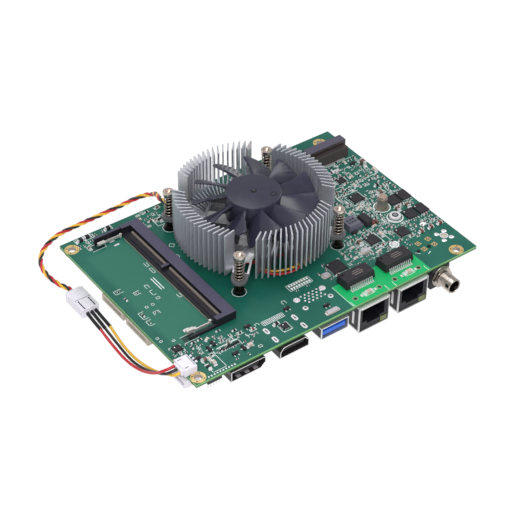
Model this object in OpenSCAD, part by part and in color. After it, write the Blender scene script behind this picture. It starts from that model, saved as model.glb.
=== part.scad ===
// Single board computer, 146 x 104 mm class, with a fan-cooled radial heatsink.
// Its ports hang under the front edge, and the fan's lead runs round the left
// side through an inline connector to the header at the front left corner.
// Origin: centre of the four-hole mounting pattern, on the board's underside.
// +X runs along the port edge, +Y away from it, +Z up.

/* [Board] */
// Length along the port edge
board_l = 146; // [140:1:150]
// Depth from the port edge to the back edge
board_w = 104; // [102:1:108]
// Board thickness
board_t = 1.6; // [1.2:0.2:2.0]
// Mounting hole diameter
hole_d = 3.3; // [3.0:0.1:3.6]
// Hole centre to the left edge
hole_left = 3.0; // [3:0.1:4]
// Hole centre to the right edge
hole_right = 8.8; // [8:0.1:9.5]
// Hole centre to the front edge
hole_front = 3.2; // [3:0.1:4]
// Hole centre to the back edge
hole_back = 5.3; // [5:0.1:6]

/* [Cooler] */
// Outer radius of the fins
fin_r_out = 34.4; // [33:0.1:34.8]
// Radius of the fan well
fin_r_in = 29; // [28.5:0.1:29.5]
// Underside of the fins above the board
fin_bottom = 5.5; // [5:0.1:6]
// Top of the fins above the board
fin_top = 26.3; // [25:0.1:28]
// Fin thickness
fin_t = 0.6; // [0.5:0.1:0.8]
// Fins in each of the four groups
fins_per_group = 17; // [12:1:17]
// Angle between neighbouring fins
fin_pitch = 4.25; // [4:0.05:4.3]
// Spacing of the four cooler screws
screw_span = 52; // [51.5:0.1:52.5]

/* [Fan] */
// Radius at the blade tips
blade_r = 27.3; // [26:0.1:27.6]
// Number of blades
blade_n = 11; // [7:1:11]
// Hub radius
hub_r = 12; // [11.5:0.1:12.5]
// Top of the hub above the board
hub_top = 25; // [24.5:0.1:25.5]

/* [Ports] */
// Width of a network port
lan_w = 16; // [15.5:0.1:16.2]
// Height of a network port below the board
lan_h = 13.4; // [13:0.1:13.6]
// Width of the display port
dp_w = 17; // [16.5:0.1:17.5]
// Width of the HDMI-type port
hdmi_w = 14.6; // [14.2:0.1:15]
// Width of the USB-A port
usb_w = 14.1; // [13.8:0.1:14.5]
// Radius of the power jack's threaded barrel
jack_r = 3.45; // [3.4:0.05:3.6]

/* [Hidden] */

// Board-centred working frame: the modules draw with x and y from the board's
// centre and z from its top face, and on_board() moves that to the part's frame.
hole_x0 = -board_l/2 + hole_left;
hole_x1 = board_l/2 - hole_right;
hole_y0 = -board_w/2 + hole_front;
hole_y1 = board_w/2 - hole_back;
module on_board() {
    translate([-(hole_x0 + hole_x1)/2, -(hole_y0 + hole_y1)/2, board_t]) children();
}
front_y = -board_w/2;
left_x = -board_l/2;
under = -board_t;          // the board's underside
table_z = under - lan_h;   // the level the network ports reach down to

// A box from one corner to the opposite one
module box(a, b) {
    translate(a) cube([b[0] - a[0], b[1] - a[1], b[2] - a[2]]);
}
module tube(r_out, r_in, z0, z1) {
    difference() {
        translate([0, 0, z0]) cylinder(r = r_out, h = z1 - z0, $fn = 64);
        translate([0, 0, z0 - 1]) cylinder(r = r_in, h = z1 - z0 + 2, $fn = 64);
    }
}
module disc(r, z0, z1) {
    translate([0, 0, z0]) cylinder(r = r, h = z1 - z0, $fn = 64);
}
// ---- swept round section, for springs and cords ----
function unit(v) = v / norm(v);
function tangent(p, i) = unit(p[min(i + 1, len(p) - 1)] - p[max(i - 1, 0)]);
function side_of(t) = unit(cross(t, abs(t[2]) < 0.9 ? [0, 0, 1] : [1, 0, 0]));
module sweep(p, r, sides) {
    n = len(p);
    rings = [for (i = [0:n - 1]) let (t = tangent(p, i), s = side_of(t), u = cross(s, t))
        for (k = [0:sides - 1]) let (a = 360*k/sides) p[i] + r*(cos(a)*s + sin(a)*u)];
    walls = [for (i = [0:n - 2], k = [0:sides - 1]) let (k2 = (k + 1) % sides)
        [i*sides + k, i*sides + k2, (i + 1)*sides + k2, (i + 1)*sides + k]];
    caps = [[for (k = [sides - 1:-1:0]) k], [for (k = [0:sides - 1]) (n - 1)*sides + k]];
    polyhedron(rings, concat(caps, walls), convexity = 6);
}
// Smooth curve through hand-placed points: m steps in each stretch
function knot(p, i) = p[max(0, min(len(p) - 1, i))];
function through(a, b, c, d, t) =
    0.5*(2*b + (c - a)*t + (2*a - 5*b + 4*c - d)*t*t + (3*b - a - 3*c + d)*t*t*t);
function curve(p, m) = concat([for (i = [0:len(p) - 2], j = [0:m - 1])
    through(knot(p, i - 1), knot(p, i), knot(p, i + 1), knot(p, i + 2), j/m)],
    [p[len(p) - 1]]);

// ---- circuit board ----
cooler_c = [-1.6, 9];
lan_x = [7.6, 28.8];       // left side of each network port
lan_front = -53.5;
module circuit_board() {
    color("seagreen") on_board() difference() {
        box([left_x, front_y, under], [-left_x, -front_y, 0]);
        for (x = [hole_x0, hole_x1], y = [hole_y0, hole_y1])
            translate([x, y, under - 1]) cylinder(d = hole_d, h = board_t + 2, $fn = 48);
        at_cooler_screws() translate([0, 0, under - 1])
            cylinder(r = bush_r, h = board_t + 2, $fn = 48);
        for (x = lan_x, dx = [1.5, lan_w - 1.5])
            translate([x + dx, -48.3, under - 1]) cylinder(r = 0.85, h = board_t + 2, $fn = 24);
    }
}

// ---- processor and cooler ----
bush_r = 2.3;
module at_cooler_screws() {
    for (x = [-1, 1], y = [-1, 1])
        translate([cooler_c[0] + x*screw_span/2, cooler_c[1] + y*screw_span/2, 0]) children();
}
module processor() {
    color("darkslategray") on_board() translate([cooler_c[0], cooler_c[1], 0]) union() {
        box([-14, -12.5, 0], [14, 12.5, 1.2]);
        box([-6, -5, 1.2], [6, 5, 2.0]);
    }
}
pad_top = 2.5;
module thermal_pad() {
    color("lightsteelblue") on_board() translate([cooler_c[0], cooler_c[1], 0])
        box([-7, -6, 2.0], [7, 6, pad_top]);
}
base_r = 21.5;
base_top = fin_bottom + 3;
arm_bottom = fin_bottom + 0.3;
arm_top = fin_bottom + 2;
fin_step = 12;             // top of the fins' inner part, under the blades
fin_tangent = 12.26;       // radius of the circle that every fin points past
function along(r) = sqrt(r*r - fin_tangent*fin_tangent);
module fin() {
    // The fin's plane passes the axis at fin_tangent, so it leans off the radius
    rotate([0, 0, -asin(fin_tangent/fin_r_in)]) translate([0, fin_tangent + fin_t/2, 0])
        rotate([90, 0, 0]) linear_extrude(fin_t) polygon([
            [along(base_r - 1), fin_bottom], [along(fin_r_out), fin_bottom],
            [along(fin_r_out), fin_top], [along(fin_r_in), fin_top],
            [along(fin_r_in), fin_step], [along(base_r - 1), fin_step]]);
}
// Outline of the cross that reaches the four screws, with two slots in each arm
module cross_outline(arm_w, boss_r) {
    difference() {
        for (a = [45, 135]) rotate(a) square([screw_span*sqrt(2), arm_w], center = true);
        for (a = [45:90:315], y = [-2.7, 0.8]) rotate(a) translate([24.5, y]) square([8.6, 1.9]);
    }
    for (x = [-1, 1], y = [-1, 1]) translate([x*screw_span/2, y*screw_span/2]) circle(r = boss_r, $fn = 64);
}
module heatsink() {
    color("silver") on_board() translate([cooler_c[0], cooler_c[1], 0]) difference() {
        union() {
            disc(base_r, fin_bottom, base_top);
            box([-12, -12, pad_top], [12, 12, fin_bottom + 1]);
            translate([0, 0, arm_bottom]) linear_extrude(arm_top - arm_bottom) cross_outline(7, 3.3);
        }
        for (x = [-1, 1], y = [-1, 1]) translate([x*screw_span/2, y*screw_span/2, 0])
            disc(1.6, fin_bottom - 1, arm_top + 1);
    }
}
// Separate plates, their inner ends pressed into the base's rim
module heatsink_fins() {
    color("gainsboro") on_board() translate([cooler_c[0], cooler_c[1], 0])
        for (g = [0:3], i = [0:fins_per_group - 1])
            rotate([0, 0, 4 + 90*g + (i - (fins_per_group - 1)/2)*fin_pitch]) fin();
}
plate_t = 1.2;
bush_top = 1.0;
shank_r = 1.25;
module cooler_backplate() {
    color("dimgray") on_board() difference() {
        union() {
            for (a = [45, 135]) translate([cooler_c[0], cooler_c[1], 0]) rotate([0, 0, a])
                box([-screw_span/sqrt(2), -5, under - plate_t], [screw_span/sqrt(2), 5, under]);
            at_cooler_screws() disc(5, under - plate_t, under);
            at_cooler_screws() disc(bush_r - 0.1, under - plate_t, bush_top);
            translate([cooler_c[0], cooler_c[1], 0])
                box([-13, -13, under - plate_t], [13, 13, under]);
        }
        at_cooler_screws() disc(shank_r + 0.05, under - plate_t - 1, bush_top + 1);
    }
}
head_bottom = 18;
head_top = 20;
module cooler_screw(sx, sy) {
    color("gainsboro") on_board()
    translate([cooler_c[0] + sx*screw_span/2, cooler_c[1] + sy*screw_span/2, 0]) difference() {
        union() {
            disc(shank_r, under - plate_t, head_bottom);
            disc(2.5, head_bottom, head_top);
            disc(2.2, bush_top + 0.1, bush_top + 0.8);
        }
        for (a = [45, 135]) rotate([0, 0, a])
            box([-1.5, -0.35, head_top - 1.0], [1.5, 0.35, head_top + 1]);
    }
}
spring_wire = 0.3;
spring_r = 1.95;
spring_turns = 6;
function spring_path(z0, z1) = [for (i = [0:spring_turns*12]) let (a = 30*i)
    [spring_r*cos(a), spring_r*sin(a), z0 + (z1 - z0)*i/(spring_turns*12)]];
module cooler_spring(sx, sy) {
    color("silver") on_board()
    translate([cooler_c[0] + sx*screw_span/2, cooler_c[1] + sy*screw_span/2, 0])
        sweep(spring_path(arm_top + spring_wire + 0.05, head_bottom - spring_wire - 0.05),
            spring_wire, 6);
}

// ---- fan ----
blade_bottom = 15;
blade_top = 24;
blade_start = 16.1;
blade_pitch = 34;          // the higher edge is the anticlockwise one
blade_chord = 17;
bearing_r = 2;
fan_shaft_r = 0.95;
shaft_top = hub_top - 1.2;  // the underside of the hub's cap
module at_fan() {
    on_board() translate([cooler_c[0], cooler_c[1], 0]) children();
}
module fan_base() {
    color("dimgray") at_fan() difference() {
        union() {
            disc(11.5, base_top, base_top + 1.2);
            disc(3.2, base_top, 20);
        }
        disc(bearing_r, base_top + 0.8, 21);
    }
}
module fan_bearing() {
    color("goldenrod") at_fan() difference() {
        disc(bearing_r, base_top + 0.8, 20);
        disc(fan_shaft_r + 0.03, base_top + 1.2, 21);
    }
}
module fan_stator() {
    color("sienna") at_fan() difference() {
        union() {
            disc(4.6, 11.5, 19.5);
            for (a = [0:90:270]) rotate([0, 0, a]) intersection() {
                disc(9.3, 12, 19);
                union() {
                    box([0, -1.6, 12], [9, 1.6, 19]);
                    box([7.9, -5, 13.5], [10, 5, 17.5]);
                }
            }
        }
        disc(3.2, 10, 21);
    }
}
// Tilted plate from the hub's wall to the tips; neighbours meet at their roots
module fan_blade() {
    difference() {
        intersection() {
            translate([0, 0, (blade_bottom + blade_top)/2]) rotate([blade_pitch, 0, 0])
                translate([8, -blade_chord/2, -0.5]) cube([blade_r, blade_chord, 1.0]);
            disc(blade_r, blade_bottom, blade_top);
        }
        disc(hub_r - 0.5, blade_bottom - 1, blade_top + 1);
    }
}
module fan_rotor() {
    color("#3b3a46") at_fan() union() {
        difference() {
            disc(hub_r, 13, hub_top);
            disc(hub_r - 1.1, 12, hub_top - 1.2);
        }
        difference() {
            disc(2.2, 21, hub_top - 0.5);
            disc(fan_shaft_r, 20, shaft_top);
        }
        for (i = [0:blade_n - 1]) rotate([0, 0, blade_start + i*360/blade_n]) fan_blade();
    }
}
module fan_magnet() {
    color("black") at_fan() tube(hub_r - 1.1, 9.7, 13.2, 20);
}
module fan_shaft() {
    color("lightgray") at_fan() disc(fan_shaft_r, base_top + 1.4, shaft_top);
}

// ---- fan lead: hand-placed routes in the board-centred frame ----
lead_r = 1.3;
inner_route = [[-7.2, -0.8, 9.7], [-10.6, -6.6, 9.9], [-12.8, -10.3, 9.7], [-13.9, -12.3, 6.9],
    [-13.9, -14.4, 3.9], [-11.6, -17.8, 2.9], [-6.5, -20.4, 2.9], [-0.8, -20.6, 2.9],
    [3.6, -17.2, 2.9], [2.8, -12, 2.9], [-2.5, -9.2, 2.9], [-9, -8.4, 2.9],
    [-15.5, -6, 2.9], [-19.4, -0.5, 2.9], [-20.2, 8, 2.9], [-20.2, 17, 2.9],
    [-19.6, 27, 2.9], [-19.4, 34, 3.1], [-20.5, 40.5, 3.8]];
lead_route = [[-20.5, 40.5, 3.8], [-22.1, 45.5, 4.5], [-22.2, 50, 3.6],
    [-20.5, 54.5, 1.5], [-17, 62.5, -3.5], [-14.5, 69, -9], [-15.5, 73.8, -12],
    [-20, 75.8, -13.4], [-28, 75.6, -13.7], [-38.5, 75.2, -13.7], [-49.5, 74.8, -13.7],
    [-60, 74.2, -13.7], [-67, 72, -13.7], [-73.8, 67.5, -13.7], [-78.2, 61, -13.7],
    [-79.8, 53, -13.7], [-78.8, 44.5, -13.5], [-77.3, 39, -12.8], [-77.2, 36, -12.75]];
wire_r = 0.65;
red_route = [[-79.5, 9.4, -13.2], [-79.8, 5, -13.6], [-80.2, -2, -13.9], [-80.8, -10, -13.3],
    [-81.2, -17.5, -11.6], [-81.2, -25, -8.8], [-81, -31, -5.4], [-80.6, -35.4, -2.2],
    [-79.7, -38.2, 0.4], [-77.8, -39.8, 1.9], [-75.2, -40, 2.2]];
black_route = [[-77.6, 9, -13.2], [-77.8, 4.5, -13.6], [-78.2, -2.5, -13.9],
    [-79, -10.5, -13.2], [-79.5, -18, -11.6], [-79.5, -26, -8.6], [-79.4, -32.5, -4.8],
    [-79.2, -37, -2.2], [-78.6, -39.8, -0.2], [-77.3, -41.4, 1.4], [-75.2, -41.8, 1.9]];
yellow_route = [[-75.3, 8.6, -13.2], [-75.8, 4, -13.6], [-76.6, -3, -13.9],
    [-77.3, -11, -13.1], [-77.7, -18.5, -11.4], [-77.8, -27, -8.4], [-77.8, -34, -4.9],
    [-77.4, -39, -2.0], [-77.1, -41.7, -0.5], [-76.4, -43.3, 0.8], [-75.1, -43.8, 1.4]];
module fan_lead_inner() {
    color("crimson") on_board() sweep(curve(inner_route, 1), 1.0, 8);
}
module fan_lead() {
    color("goldenrod") on_board() sweep(curve(lead_route, 1), lead_r, 8);
}
module wire(route) {
    on_board() sweep(curve(route, 1), wire_r, 8);
}
module wire_red() { color("red") wire(red_route); }
module wire_black() { color("#202020") wire(black_route); }
module wire_yellow() { color("gold") wire(yellow_route); }

// ---- inline connector, lying on the table ----
conn_x = [-81.2, -73.0];
conn_y = [21, 35];
conn_top = table_z + 4.5;
plug_y = 28;
// Plug half: outer housing, its nose inside the socket half
module inline_plug() {
    color("whitesmoke") on_board() union() {
        box([conn_x[0] + 0.7, plug_y, table_z + 0.6], [conn_x[1] - 0.7, 36, conn_top - 0.6]);
        box([conn_x[0] + 1.3, conn_y[0] + 2, table_z + 1.2],
            [conn_x[1] - 1.3, plug_y, conn_top - 1.2]);
    }
}
module inline_socket() {
    color("white") on_board() difference() {
        box([conn_x[0], conn_y[0], table_z], [conn_x[1], conn_y[1], conn_top]);
        box([conn_x[0] + 0.65, plug_y - 0.05, table_z + 0.55],
            [conn_x[1] - 0.65, 37, conn_top - 0.55]);
        box([conn_x[0] + 1.25, conn_y[0] + 1.5, table_z + 1.15],
            [conn_x[1] - 1.25, plug_y, conn_top - 1.15]);
    }
}
sleeve_r = 0.9;
sleeve_start = [[-79, 21, -12.6], [-77, 21, -12.6], [-75, 21, -12.6]];
sleeve_mid = [[-79.3, 15.5, -13], [-77.2, 15.2, -13], [-75.1, 15, -13]];
sleeve_end = [red_route[0], black_route[0], yellow_route[0]];
module wire_sleeves() {
    color("#181818") on_board() for (i = [0:2])
        sweep([sleeve_start[i], sleeve_mid[i], sleeve_end[i]], sleeve_r, 8);
}

// ---- fan header on the board ----
hdr_x = [-74.2, -68.4];
hdr_y = [-46, -38.2];
hdr_h = 3.6;
module header_plug() {
    color("ivory") on_board()
        box([hdr_x[0] - 1, hdr_y[0] + 1, 0.6], [hdr_x[1] - 2, hdr_y[1] - 1, hdr_h - 0.6]);
}
module fan_header() {
    color("white") on_board() union() {
        difference() {
            box([hdr_x[0], hdr_y[0], 0], [hdr_x[1], hdr_y[1], hdr_h]);
            box([hdr_x[0] - 2, hdr_y[0] + 0.95, 0.55],
                [hdr_x[1] - 1.9, hdr_y[1] - 0.95, hdr_h - 0.55]);
        }
        // Solder tails of the three contacts
        for (y = [-43.4, -41.7, -40])
            box([hdr_x[1], y - 0.25, 0], [hdr_x[1] + 1.6, y + 0.25, 0.3]);
    }
}

// ---- memory socket ----
mem_x = [-47.6, -38.0];
mem_y = [-29.5, 44.5];
mem_h = 4.2;
slot_x = -43.2;            // right side of the module slot
key_y = 12.2;              // key rib in the slot
arm_len = 13;
arm_t = 1.2;
latch_gap = 1.4;
module memory_socket() {
    color("#55506a") on_board() difference() {
        union() {
            box([mem_x[0], mem_y[0], 0], [mem_x[1], mem_y[1], 1.2]);
            box([slot_x, mem_y[0], 1.2], [mem_x[1], mem_y[1], mem_h]);
            for (y = [mem_y[0], mem_y[1] - 2.4])
                box([mem_x[0], y, 1.2], [slot_x, y + 2.4, mem_h]);
            box([mem_x[0] + 0.6, key_y - 0.7, 1.2], [slot_x, key_y + 0.7, 3.1]);
            box([mem_x[0] - arm_len, mem_y[0], 0], [mem_x[0], mem_y[0] + arm_t, 1.4]);
            box([mem_x[0] - arm_len, mem_y[1] - arm_t, 0], [mem_x[0], mem_y[1], mem_h - 0.6]);
        }
        // Mouth of the slot under the top rail
        for (y = [[mem_y[0] + 2.4, key_y - 0.7], [key_y + 0.7, mem_y[1] - 2.4]])
            box([slot_x - 1, y[0], 2.2], [slot_x + 2.4, y[1], 3.3]);
    }
}
module memory_contacts() {
    color("tan") on_board() for (y = [[mem_y[0] + 2.8, key_y - 1.1], [key_y + 1.1, mem_y[1] - 2.8]])
        for (x = [mem_x[0] + 0.5, mem_x[0] + 2.5])
            box([x, y[0], 1.2], [x + 1.2, y[1], 1.9]);
}
latch_pivot_x = mem_x[0] - 1.2;
module memory_latch(y_in, s) {
    // Spring arm that hooks over the module's edge, inside the fixed arm
    color("gainsboro") on_board() union() {
        translate([latch_pivot_x, y_in + s*0.6, 0]) disc(0.6, 0.4, 2.4);
        box([latch_pivot_x - arm_len + 1.5, min(y_in, y_in + s*0.5), 0.6],
            [latch_pivot_x, max(y_in, y_in + s*0.5), 1.8]);
        box([latch_pivot_x - arm_len + 1.5, min(y_in, y_in + s*1.6), 1.6],
            [latch_pivot_x - arm_len + 5, max(y_in, y_in + s*1.6), 2.4]);
    }
}
module memory_latch_front() { memory_latch(mem_y[0] + arm_t + latch_gap, 1); }
module memory_latch_back() { memory_latch(mem_y[1] - arm_t - latch_gap, -1); }

// ---- expansion card socket, standoff and nut ----
card_x = [47, 68.4];
card_y = [31, 37.6];
card_top = 8.4;
module card_socket() {
    color("#4a4552") on_board() difference() {
        union() {
            box([card_x[0], card_y[0], 0], [card_x[1], card_y[1], 5.4]);
            box([card_x[0], card_y[0] + 2.2, 5.4], [card_x[1], card_y[1], card_top]);
        }
        box([card_x[0] + 1.2, card_y[0] - 1, 5.9], [card_x[1] - 1.2, card_y[0] + 5, 6.9]);
        box([card_x[0] - 1, card_y[0] + 2.1, 5.4], [card_x[0] + 1.0, card_y[0] + 4, 7.2]);
    }
}
module card_contacts() {
    color("goldenrod") on_board() union() {
        for (i = [0:33]) if (i < 22 || i > 26)
            box([card_x[0] + 2.2 + i*0.5, card_y[0] + 2.8, 5.9],
                [card_x[0] + 2.45 + i*0.5, card_y[0] + 5, 6.15]);
        for (i = [0:33])
            box([card_x[0] + 2.2 + i*0.5, card_y[0] - 0.9, 0],
                [card_x[0] + 2.45 + i*0.5, card_y[0], 0.2]);
    }
}
standoff_c = [57, -7.5];
standoff_h = 5.2;
nut_c = [57, -16.5];
module card_standoff() {
    color("darkkhaki") on_board() translate([standoff_c[0], standoff_c[1], 0]) difference() {
        union() {
            disc(3.2, 0, 0.3);
            translate([0, 0, 0.3]) cylinder(r = 2.5, h = standoff_h - 0.3, $fn = 6);
        }
        disc(1.0, 1, standoff_h + 1);
    }
}
module card_standoff_screw() {
    color("rosybrown") on_board() translate([standoff_c[0], standoff_c[1], 0]) difference() {
        union() {
            disc(0.95, 2.4, standoff_h);
            disc(1.9, standoff_h, standoff_h + 1.1);
        }
        for (a = [30, 120]) rotate([0, 0, a])
            box([-1.1, -0.2, standoff_h + 0.6], [1.1, 0.2, standoff_h + 2]);
    }
}
module card_nut() {
    color("gainsboro") on_board() translate([nut_c[0], nut_c[1], 0]) difference() {
        union() {
            disc(3.3, 0, 0.5);
            disc(2.6, 0.5, 1.5);
        }
        disc(1.0, -1, 3);
    }
}

// ---- network ports ----
lan_back = -36;
lan_wall = 0.35;
module lan_port(x) {
    color("gainsboro") on_board() difference() {
        box([x, lan_front, table_z], [x + lan_w, lan_back, under]);
        box([x + lan_wall, lan_front - 1, table_z + lan_wall],
            [x + lan_w - lan_wall, lan_back - lan_wall, under - lan_wall]);
    }
}
module lan_port_left() { lan_port(lan_x[0]); }
module lan_port_right() { lan_port(lan_x[1]); }
cavity_w = 11.8;
cavity_h = 6.8;
module lan_inserts() {
    color("#262430") on_board() for (x = lan_x) let (m = x + lan_w/2) difference() {
        box([x + lan_wall + 0.05, lan_front + 0.6, table_z + lan_wall + 0.05],
            [x + lan_w - lan_wall - 0.05, lan_back - 1, under - lan_wall - 0.05]);
        box([m - cavity_w/2, lan_front - 1, under - 2.1 - cavity_h],
            [m + cavity_w/2, lan_front + 13, under - 2.1]);
        box([m - 3.4, lan_front - 1, under - 3.6 - cavity_h],
            [m + 3.4, lan_front + 9, under - 2.0 - cavity_h]);
    }
}

// ---- video and USB ports ----
dp_x = -57.1;
dp_bottom = under - 5.3;
port_front = -53;
port_back = -42;
// Front outline of a shell, drawn in x and z
module port_prism(pts, y0, y1) {
    translate([0, y1, 0]) rotate([90, 0, 0]) linear_extrude(y1 - y0) polygon(pts);
}
function dp_outline(g) = [[dp_x + g, under - 0.15 - g], [dp_x + dp_w - 0.8 - 0.6*g, under - 0.15 - g],
    [dp_x + dp_w - g, under - 1.0 - 0.6*g], [dp_x + dp_w - g, dp_bottom + 2.0 + 0.4*g],
    [dp_x + dp_w - 2.2 - 0.4*g, dp_bottom + g], [dp_x + g, dp_bottom + g]];
module display_port_shell() {
    color("dimgray") on_board() difference() {
        port_prism(dp_outline(0), port_front, port_back);
        port_prism(dp_outline(0.4), port_front - 1, port_back - 0.5);
    }
}
module display_port_insert() {
    color("#1c1a20") on_board() union() {
        port_prism(dp_outline(0.45), port_front + 8, port_back - 0.6);
        box([dp_x + 2.2, port_front + 1, under - 3.4], [dp_x + dp_w - 3, port_front + 8, under - 2.2]);
    }
}
hdmi_x = -33;
hdmi_bottom = under - 6.0;
hdmi_top = under - 0.5;
function hdmi_outline(g) = [[hdmi_x + g, hdmi_bottom + g], [hdmi_x + hdmi_w - g, hdmi_bottom + g],
    [hdmi_x + hdmi_w - g, hdmi_top - 2.1 + 0.4*g], [hdmi_x + hdmi_w - 1.9 - 0.7*g, hdmi_top - g],
    [hdmi_x + 1.9 + 0.7*g, hdmi_top - g], [hdmi_x + g, hdmi_top - 2.1 + 0.4*g]];
module hdmi_shell() {
    color("dimgray") on_board() difference() {
        port_prism(hdmi_outline(0), port_front, port_back);
        port_prism(hdmi_outline(0.4), port_front - 1, port_back - 0.5);
    }
}
module hdmi_insert() {
    color("#1c1a20") on_board() union() {
        port_prism(hdmi_outline(0.45), port_front + 8, port_back - 0.6);
        box([hdmi_x + 2, port_front + 1, hdmi_top - 3.0],
            [hdmi_x + hdmi_w - 2, port_front + 8, hdmi_top - 1.8]);
    }
}
usb_x = -12;
usb_bottom = under - 7.0;
usb_top = under - 1.0;
module usb_shell() {
    color("gainsboro") on_board() difference() {
        box([usb_x, port_front, usb_bottom], [usb_x + usb_w, port_back + 2, usb_top]);
        box([usb_x + 0.4, port_front - 1, usb_bottom + 0.4],
            [usb_x + usb_w - 0.4, port_back + 1.5, usb_top - 0.4]);
    }
}
module usb_tongue() {
    color("royalblue") on_board() union() {
        box([usb_x + 0.45, port_front + 9, usb_bottom + 0.45],
            [usb_x + usb_w - 0.45, port_back + 1.4, usb_top - 0.45]);
        box([usb_x + 1.1, port_front + 0.8, usb_bottom + 1.4],
            [usb_x + usb_w - 1.1, port_front + 9, usb_bottom + 3.4]);
    }
}

// ---- power jack with its threaded barrel ----
jack_x = 52.9;
jack_z = -6.5;
jack_end = -61.3;
jack_nut_y = [-54.2, -52.3];
jack_bore = 2.75;
jack_neck_r = 3.1;         // the barrel behind its free thread, inside the nut and the body
module along_y(y0, y1, r, sides = 64) {
    translate([jack_x, y1, jack_z]) rotate([90, 0, 0]) cylinder(r = r, h = y1 - y0, $fn = sides);
}
module power_jack_body() {
    color("#242024") on_board() union() {
        difference() {
            box([jack_x - 5.2, -52.3, -12], [jack_x + 4.6, -38, under]);
            along_y(-55, -43, jack_neck_r + 0.05);
        }
        // Centre contact
        along_y(jack_end + 2.4, -43, 1.0, 32);
        // Solder tails up into the board
        for (x = [jack_x - 3, jack_x + 3]) box([x - 0.6, -41, under], [x + 0.6, -40, 0.8]);
    }
}
module power_jack_barrel() {
    color("lightgray") on_board() difference() {
        union() {
            along_y(jack_end, jack_nut_y[0], jack_r);
            along_y(jack_nut_y[0], -43.5, jack_neck_r);
        }
        along_y(jack_end - 1, -42, jack_bore);
    }
}
module power_jack_nut() {
    color("silver") on_board() difference() {
        union() {
            along_y(jack_nut_y[0], jack_nut_y[1] - 0.7, 5.0, 6);
            along_y(jack_nut_y[1] - 0.7, jack_nut_y[1], 5.0);
        }
        along_y(-60, -50, jack_neck_r + 0.05);
    }
}

// ---- connectors under the left edge, and the pin header under the front edge ----
module edge_connectors() {
    color("tan") on_board() for (y = [0.5, -18]) difference() {
        box([-73.6, y, under - 3.4], [-67.5, y + 16.4, under]);
        box([-75, y + 1.6, under - 2.6], [-69, y + 14.8, under - 0.9]);
    }
}
module edge_connector_white() {
    color("lavender") on_board() difference() {
        box([-75.0, -46.8, under - 3.6], [-68, -38.2, under]);
        box([-76, -45.8, under - 2.8], [-70, -39.2, under - 0.9]);
    }
}
module pin_header() {
    color("#202020") on_board() union() {
        box([-67.3, -51.4, under - 2.2], [-60.2, -49.2, under]);
        for (i = [0:4]) translate([-66.5 + i*1.37, -50.3, under - 5.2])
            cylinder(r = 0.22, h = 6.4, $fn = 16);
    }
}

// ---- parts soldered on top ----
// Each row: x, y, length in x, length in y, height
CHIPS = [[14.9, -28.2, 7, 7, 0.9], [52.8, -26.3, 5.4, 5.4, 0.9], [38.7, -23, 5.4, 5.4, 0.9],
    [-25, -45, 2.8, 2.8, 0.9], [51.4, 3.7, 5.6, 5, 1.0], [54, 18, 3.6, 3.6, 0.8],
    [33, 4, 5, 5, 0.9], [-68, -31, 3.4, 3, 1.2], [31.5, -3.5, 3.6, 3.6, 0.8]];
MOSFETS = [[63.7, -7, 5.2, 6, 1.0], [69.8, -6.5, 5.2, 6, 1.0],
    [63.7, -18.7, 5.2, 6, 1.0], [70, -18.5, 5.2, 6, 1.0]];
INDUCTORS = [[37.2, -10.2, 7.2, 7.4, 3.2], [44.6, -11.2, 4.6, 7.6, 2.2]];
CRYSTALS = [[-3.5, -49, 6, 2.5, 0.9], [8, -30, 3.6, 3, 1.0], [31.5, -27, 4.4, 2.8, 1.0]];
PASSIVES = [[16, -48.5, 3.2, 1.7, 1.3], [37.8, -48.3, 3.2, 1.7, 1.3], [59.8, -31, 2.4, 1.5, 1.2],
    [65.2, -31, 2.4, 1.5, 1.2], [70.3, -31, 2.4, 1.5, 1.2], [33, -21.5, 2.2, 3, 1.5],
    [-62.5, -42.5, 2.4, 1.6, 1.3], [65, 6, 2.2, 1.4, 1.2], [62.5, 0.5, 3.2, 1.8, 1.6],
    [70, 22, 1.8, 3.4, 2.6], [-64, 49.5, 3.2, 1.7, 1.2], [-60.5, 49.9, 3, 1.7, 1.2],
    [-50, 49.8, 3, 1.7, 1.2], [61.6, -12.8, 2.0, 2.6, 1.3], [67, -13.2, 2.0, 2.6, 1.3]];
module blocks(rows) {
    for (b = rows)
        box([b[0] - b[2]/2, b[1] - b[3]/2, 0], [b[0] + b[2]/2, b[1] + b[3]/2, b[4]]);
}
module integrated_circuits() { color("#2e2b33") on_board() blocks(CHIPS); }
module power_transistors() { color("#2a2629") on_board() blocks(MOSFETS); }
module power_inductors() { color("#6d6a86") on_board() blocks(INDUCTORS); }
module crystals() { color("lightgray") on_board() blocks(CRYSTALS); }
module chip_passives() { color("peru") on_board() blocks(PASSIVES); }

// Network transformers with a row of leads along each long side
TRANSFORMERS = [[16.5, -39.2], [36.8, -40]];
trans_l = 15.1;
trans_w = 7.1;
trans_h = 4.2;
lead_pitch = 1.016;
module lan_transformers() {
    color("#2b2730") on_board() for (c = TRANSFORMERS) union() {
        box([c[0] - trans_l/2, c[1] - trans_w/2, 0.4], [c[0] + trans_l/2, c[1] + trans_w/2, trans_h]);
        for (i = [-5.5:1:5.5], s = [-1, 1])
            box([c[0] + i*lead_pitch - 0.25, min(c[1] + s*trans_w/2, c[1] + s*(trans_w/2 + 1.4)), 0],
                [c[0] + i*lead_pitch + 0.25, max(c[1] + s*trans_w/2, c[1] + s*(trans_w/2 + 1.4)), 0.6]);
    }
}

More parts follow.
